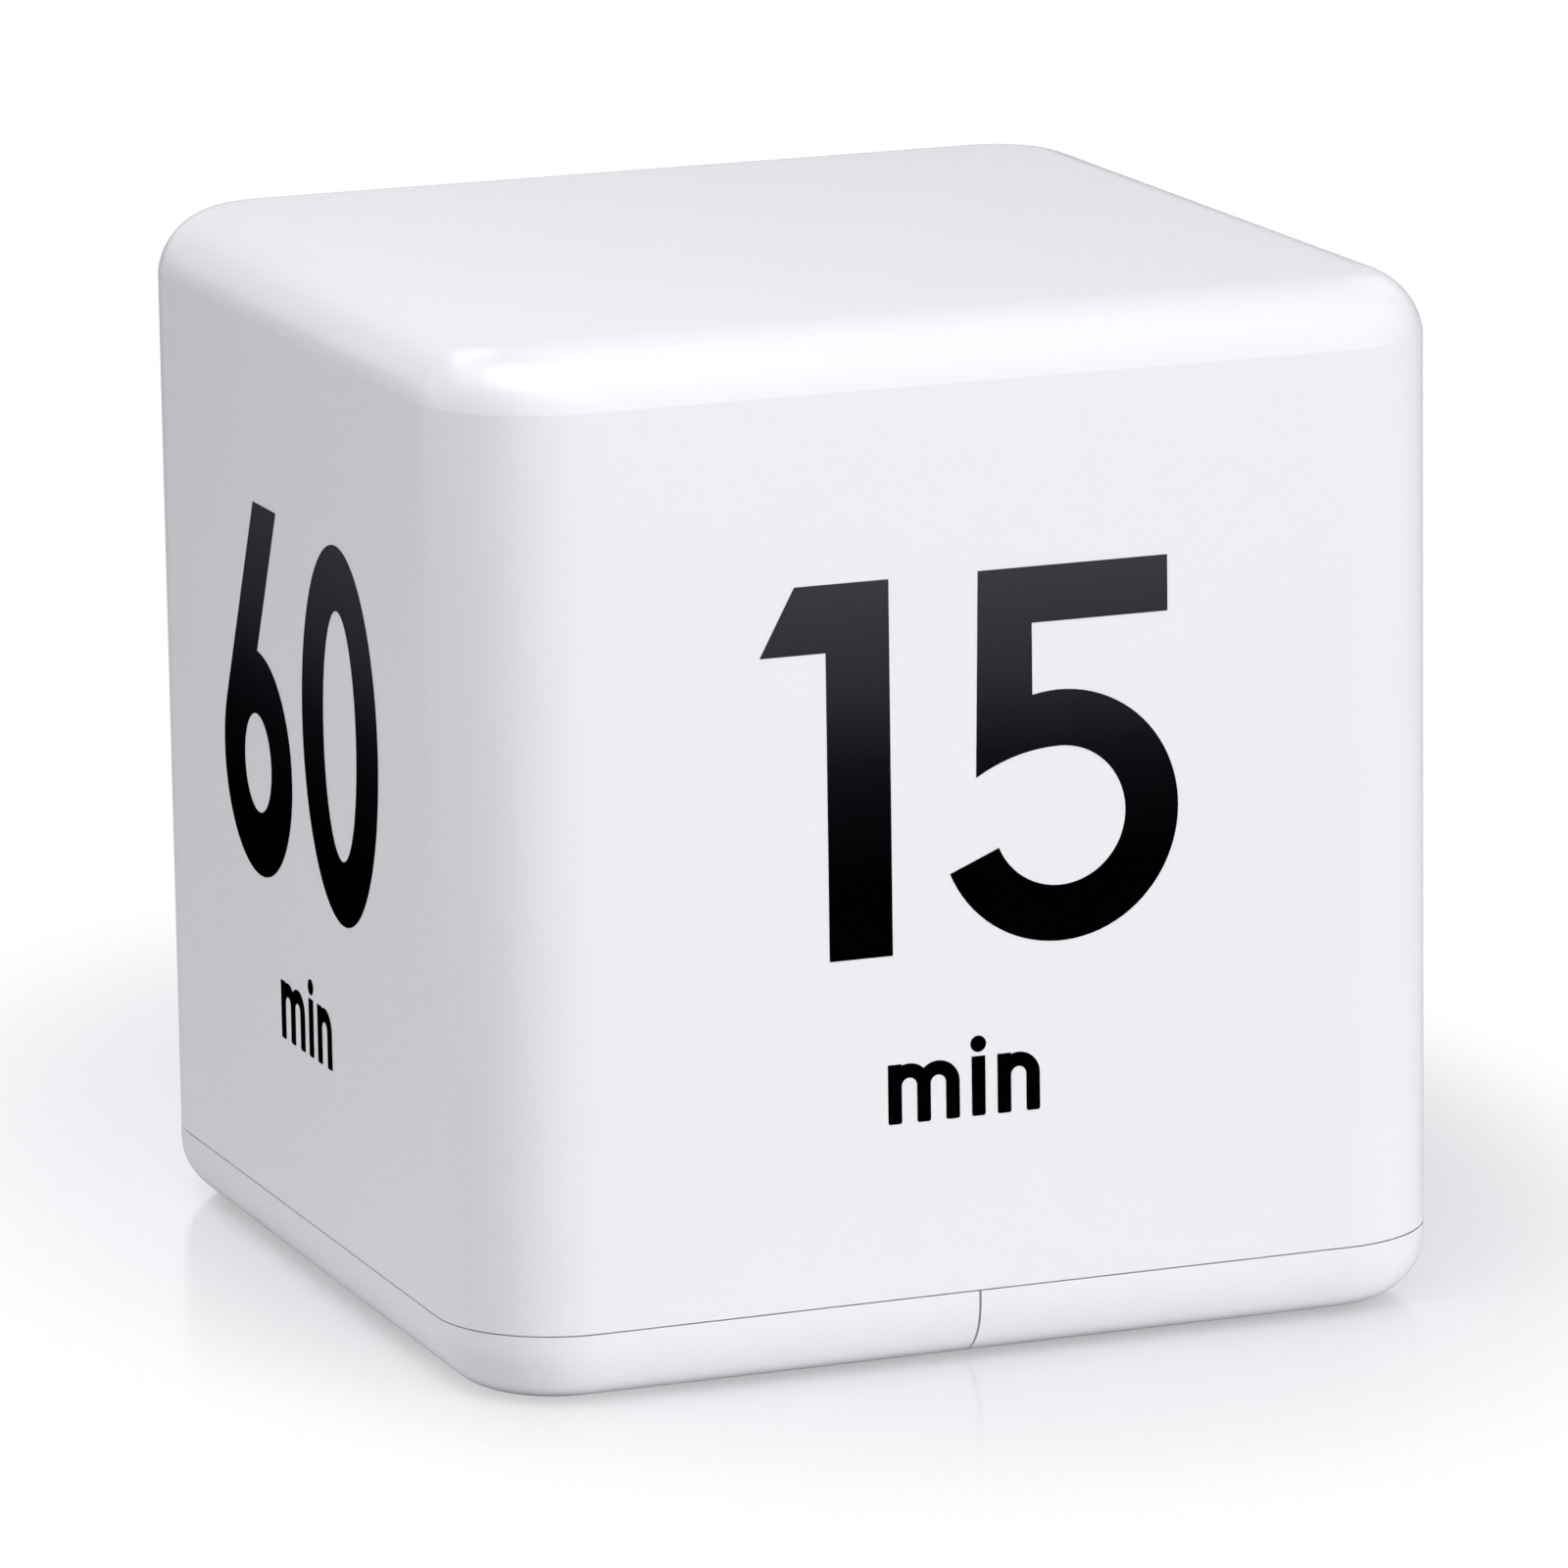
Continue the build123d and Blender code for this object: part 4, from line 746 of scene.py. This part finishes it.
crystal_glass, tree, shader = new_finish(
    "crystal_glass", {"Coat Weight": 0.6, "Coat Roughness": 0.05}
)
fine, blotch = grained(tree, 7000.0, 60.0)
glass_tone = blend_colour(tree, fine, (0.40, 0.44, 0.36), (0.46, 0.50, 0.41))
surface(tree, shader, glass_tone, follow(tree, blotch, 0.22, 0.30))
dress("display_glass", crystal_glass)


def segment(start, end):
    """A segment's outline: two points on its line, widened in the middle and pointed at its
    ends."""
    way = (end - start) / np.linalg.norm(end - start)
    aside = np.array([-way[1], way[0]]) * segment_half
    first, last = start + way * segment_gap, end - way * segment_gap
    inset = way * segment_half
    near, far = first + inset, last - inset
    return np.array([first, near - aside, far - aside, last, far + aside, near + aside])


def display_plate(outline):
    """A thin plate on the display: its outline runs along +Y across the page and +X up the
    page."""
    flat = outline + display_middle
    count = len(flat)
    low = np.column_stack([flat[:, 1], flat[:, 0], np.full(count, plate_level)])
    high = low + (0.0, 0.0, plate_thick)
    here = np.arange(count)
    after = np.roll(here, -1)
    sides = np.column_stack([here, here + count, after + count, after]).tolist()
    return np.vstack([low, high]), [here.tolist(), (here[::-1] + count).tolist()] + sides


plates = []
for left in digit_lefts:
    for ends in segment_ends:
        start, end = (
            np.array([left + across * digit_width, (up - 0.5) * digit_height])
            for across, up in ends
        )
        plates.append(display_plate(segment(start, end)))
for dot_y in (-dot_offset, dot_offset):
    plates.append(display_plate(rim * dot_half + (0.0, dot_y)))
dim_segments = moulded(
    "dim_segments", (0.27, 0.30, 0.245), (0.25, 0.28, 0.225), (0.25, 0.32), 0.1, 0.001
)
make_piece("display_segments", plates, dim_segments)

black_frame = moulded(
    "black_frame", (0.028, 0.028, 0.030), (0.022, 0.022, 0.024), (0.42, 0.55), 0.3, 0.012
)
dress("display_holder", black_frame)

layered_rubber, tree, shader = new_finish("layered_rubber")
layers = add(
    tree, "ShaderNodeTexWave", {"Vector": place_on(tree), "Scale": 1600.0, "Distortion": 0.4},
    bands_direction="Y",
).outputs["Fac"]
rubber_tone = blend_colour(tree, layers, (0.035, 0.035, 0.036), (0.52, 0.52, 0.52))
surface(tree, shader, rubber_tone, between(tree, layers, 0.0, 1.0, 0.75, 0.55))
for number in (1, 2):
    dress(f"zebra_strip_{number}", layered_rubber)

# Circuit board
# Glass-epoxy board in green solder mask, with copper tracks under the mask, tinned pads, and
# white printed outlines round the parts.
board_mask, tree, shader = new_finish("green_board")
fine, blotch = grained(tree, 2600.0, 110.0)
facing = axes(tree, add(tree, "ShaderNodeNewGeometry").outputs["True Normal"])
masked = between(tree, reckon(tree, "ABSOLUTE", facing["Z"]), 0.4, 0.6, 0.0, 1.0)
green = blend_colour(tree, blotch, (0.016, 0.150, 0.055), (0.012, 0.125, 0.045))
board_tone = blend_colour(tree, masked, (0.50, 0.44, 0.24), green)
surface(tree, shader, board_tone, between(tree, masked, 0.0, 1.0, 0.75, 0.28), fine, 0.008)
dress("main_board", board_mask)


def track(points, width, thick):
    """A flat track on the board along a line of points: each side is the line moved half a width
    along the mean of its neighbours' normals, lengthened at corners."""
    line = np.array(points, float)
    ways = np.diff(line, axis=0)
    ways /= np.linalg.norm(ways, axis=1)[:, None]
    normals = np.column_stack([-ways[:, 1], ways[:, 0]])
    before = np.vstack([normals[:1], normals])
    after = np.vstack([normals, normals[-1:]])
    mean = before + after
    mean /= np.linalg.norm(mean, axis=1)[:, None]
    mean /= np.sum(mean * after, axis=1)[:, None]
    sides = np.vstack([line + mean * width / 2, line - mean * width / 2])
    count = len(line)
    low = np.column_stack([sides, np.full(2 * count, board_top)])
    here = np.arange(count - 1)
    faces = []
    for lift, turn in ((0, 1), (2 * count, -1)):
        flat = np.column_stack([here, here + 1, here + 1 + count, here + count]) + lift
        faces += flat[:, ::turn].tolist()
    for side, turn in ((0, -1), (count, 1)):
        upright = np.column_stack([here, here + 1, here + 1 + 2 * count, here + 2 * count]) + side
        faces += upright[:, ::turn].tolist()
    faces.append([0, count, 3 * count, 2 * count])
    faces.append([count - 1, 3 * count - 1, 4 * count - 1, 2 * count - 1])
    return np.vstack([low, low + (0.0, 0.0, thick)]), faces


track_width, track_thick = 0.42, 0.03
print_width, print_thick = 0.16, 0.015
lead_routes = [
    [red_pad, (7.2, -12.6), (7.2, 1.0), (9.6, 5.2)],
    [black_pad, (6.2, -9.8), (6.2, 3.0), (8.6, 6.4)],
]
short_routes = [
    [(14.2, 8.0), (16.0, 8.0), (16.6, 7.6)],
    [(14.0, 9.2), (15.2, 9.6), (16.6, 9.6)],
    [(13.0, 10.4), (14.2, 11.6), (14.2, 12.2)],
]
long_routes = [
    [(12.0, 11.0), (12.0, 15.0), (13.6, 16.6), (20.8, 16.6), (20.8, 14.2)],
    [
        (8.0, 9.0), (6.6, 10.4), (6.6, 18.6), (8.0, 20.0), (25.6, 20.0), (27.4, 18.2),
        (27.4, 13.0),
    ],
    [(9.0, 10.6), (9.0, 16.4), (10.8, 18.2), (22.8, 18.2), (24.5, 16.5), (24.5, 14.2)],
    [(13.6, 6.2), (15.2, 4.6), (15.2, -1.0), (15.1, -3.0)],
    [(12.6, 5.4), (12.6, -2.0), (10.2, -4.4), (10.2, -5.9)],
    [
        (11.4, 4.9), (11.4, 0.0), (9.2, -2.2), (9.2, -16.0), (12.0, -18.8), (25.0, -18.8),
        (27.4, -16.4), (27.4, -8.0),
    ],
    [(14.1, 7.0), (17.2, 3.9), (21.0, 3.9), (22.0, 2.9), (22.0, -4.0)],
    [(18.9, 14.2), (18.9, 15.4), (23.0, 15.4)],
]
masked_track = moulded(
    "masked_track", (0.030, 0.215, 0.080), (0.026, 0.190, 0.070), (0.24, 0.32), 0.4, 0.004, 5.0
)
tracks = [
    track(route, track_width, track_thick) for route in lead_routes + short_routes + long_routes
]
make_piece("board_tracks", tracks, masked_track)

pad_profile = np.array([(0.0, 0.05), (0.45, 0.05), (0.62, 0.03), (0.66, 0.0), (0.0, -0.01)])
ring_profile = np.array([(0.0, 0.03), (1.65, 0.03), (1.7625, 0.0), (0.0, -0.01)])
pad_places = [route[0] for route in short_routes + long_routes]
pad_places += [route[-1] for route in long_routes]
screw_places = ((4.775, -17.0), (26.65, 5.5), (4.775, 16.5))
pads = [skin(turned_rings(pad_profile + (0.0, board_top), place, 20)) for place in pad_places]
pads += [skin(turned_rings(ring_profile + (0.0, board_top), place)) for place in screw_places]
make_piece("board_pads", pads, solder)

circle_angle = np.linspace(0.0, 2 * math.pi, 41)
circle = np.column_stack([np.cos(circle_angle), np.sin(circle_angle)])
outlines = [
    circle * 3.7 + (11.0, 8.0),
    circle * 2.35 + (24.5, 12.5),
    [(14.6, 7.0), (21.4, 7.0), (21.4, 10.0), (14.6, 10.0), (14.6, 7.05)],
    [(13.2, 11.6), (21.8, 11.6), (21.8, 14.4), (13.2, 14.4), (13.2, 11.65)],
    [(27.0, 14.6), (28.2, 14.6)],
    [(27.6, 14.0), (27.6, 15.2)],
]
board_print = [track(outline, print_width, print_thick) for outline in outlines]
make_piece("board_print", board_print, mark_white)

# Parts on the board
# A chip under poured black resin, a watch crystal in a steel can, a capacitor in a dark sleeve
# with a pale stripe, and four chip resistors with tinned ends.
resin = moulded(
    "poured_resin", (0.012, 0.012, 0.013), (0.016, 0.016, 0.017), (0.10, 0.22), 1.6, 0.03, 3.0
)
dress("timer_chip", resin)
tinned_can = metal(
    "tinned_can", (0.60, 0.60, 0.60), (0.50, 0.50, 0.50), (0.22, 0.34), (60.0, 600.0, 600.0)
)
dress("crystal", tinned_can)

# The capacitor's end is bare metal within 1.55 mm of its axis, 0.06 mm below its top and higher.
axis_to_origin = np.array([-24.5, -12.5, 0.0]) * millimetre
capacitor_top = corners_of("capacitor")[1][2]
stripe_edge, end_edge = (1.55, 1.60), (capacitor_top - 0.08, capacitor_top - 0.04)
sleeve, tree, shader = new_finish("capacitor_sleeve")
from_axis = axes(tree, given_by(
    tree, "ShaderNodeMapping", {"Vector": place_on(tree), "Location": axis_to_origin}
))
stripe = between(tree, from_axis["X"], *np.multiply(stripe_edge, millimetre), 0.0, 1.0)
sleeve_tone = blend_colour(tree, stripe, (0.012, 0.018, 0.050), (0.55, 0.57, 0.60))
spread = reckon(
    tree, "ADD",
    reckon(tree, "POWER", from_axis["X"], 2.0), reckon(tree, "POWER", from_axis["Y"], 2.0),
)
near_middle = between(tree, spread, 2.3e-6, 2.5e-6, 1.0, 0.0)
on_top = between(tree, from_axis["Z"], *np.multiply(end_edge, millimetre), 0.0, 1.0)
bare = reckon(tree, "MULTIPLY", near_middle, on_top)
capacitor_tone = blend_colour(tree, bare, sleeve_tone, (0.70, 0.70, 0.70))
surface(tree, shader, capacitor_tone, between(tree, bare, 0.0, 1.0, 0.24, 0.32))
tree.links.new(bare, shader.inputs["Metallic"])
dress("capacitor", sleeve)

# The resistors lie in a row along X, with their tinned ends more than 0.65 mm from its middle.
resistor_row_y = np.mean(corners_of("resistors"), axis=0)[1] * millimetre
chip_part, tree, shader = new_finish("chip_resistor")
chip_out = reckon(
    tree, "ABSOLUTE",
    reckon(tree, "SUBTRACT", axes(tree, place_on(tree))["Y"], resistor_row_y),
)
tinned = between(tree, chip_out, 0.00064, 0.00066, 0.0, 1.0)
chip_tone = blend_colour(tree, tinned, (0.020, 0.020, 0.022), (0.62, 0.62, 0.61))
surface(tree, shader, chip_tone, between(tree, tinned, 0.0, 1.0, 0.45, 0.26))
tree.links.new(tinned, shader.inputs["Metallic"])
dress("resistors", chip_part)

# Slide switch
# A tinned steel can soldered under the board, its black lever, and the dark grey knob that is
# pressed on the lever and shows in the finger dish.
switch_can = metal(
    "switch_can", (0.62, 0.62, 0.61), (0.54, 0.54, 0.53), (0.24, 0.36), (600.0, 60.0, 600.0)
)
lever_plastic = moulded(
    "lever_plastic", (0.020, 0.020, 0.021), (0.016, 0.016, 0.017), (0.40, 0.52), 0.2, 0.008
)
knob_plastic = moulded(
    "knob_plastic", (0.058, 0.058, 0.062), (0.048, 0.048, 0.052), (0.38, 0.50), 0.2, 0.010
)
dress("switch_body", switch_can)
dress("switch_lever", lever_plastic)
dress("switch_knob", knob_plastic)

# Buzzer
# A round piezo sounder in a black injection-moulded case. It sits over the sound holes of the
# base, pressed down on its foam ring.
buzzer_case = moulded(
    "buzzer_case", (0.018, 0.018, 0.019), (0.024, 0.024, 0.025), (0.45, 0.58), 0.35, 0.015
)
dress("buzzer", buzzer_case)

# Tilt switches
# Four small gold plated cans, each closed by a black base with two pins, and a polished ball
# that rolls to one end and makes the contact.
tilt_gold = metal(
    "gold_plate", (0.78, 0.56, 0.22), (0.70, 0.49, 0.18), (0.18, 0.30), (500.0, 500.0, 500.0)
)
tilt_base = moulded(
    "tilt_base", (0.020, 0.020, 0.021), (0.026, 0.026, 0.027), (0.42, 0.55), 0.2, 0.008
)
polished_steel = metal(
    "polished_steel", (0.80, 0.80, 0.81), (0.76, 0.76, 0.77), (0.05, 0.10),
    (200.0, 200.0, 200.0), 0.0005,
)
for number in (1, 2, 3, 4):
    dress(f"tilt_can_{number}", tilt_gold)
    dress(f"tilt_cap_{number}", tilt_base)
    dress(f"tilt_ball_{number}", polished_steel)

# Screws
# Pan-headed cross-drive screws, zinc plated: four hold the base to the shell's posts, three
# hold the board.
zinc = metal(
    "zinc_plate", (0.58, 0.59, 0.61), (0.48, 0.49, 0.51), (0.24, 0.38), (300.0, 300.0, 900.0), 0.003
)
dress("base_screws", zinc)
dress("board_screws", zinc)
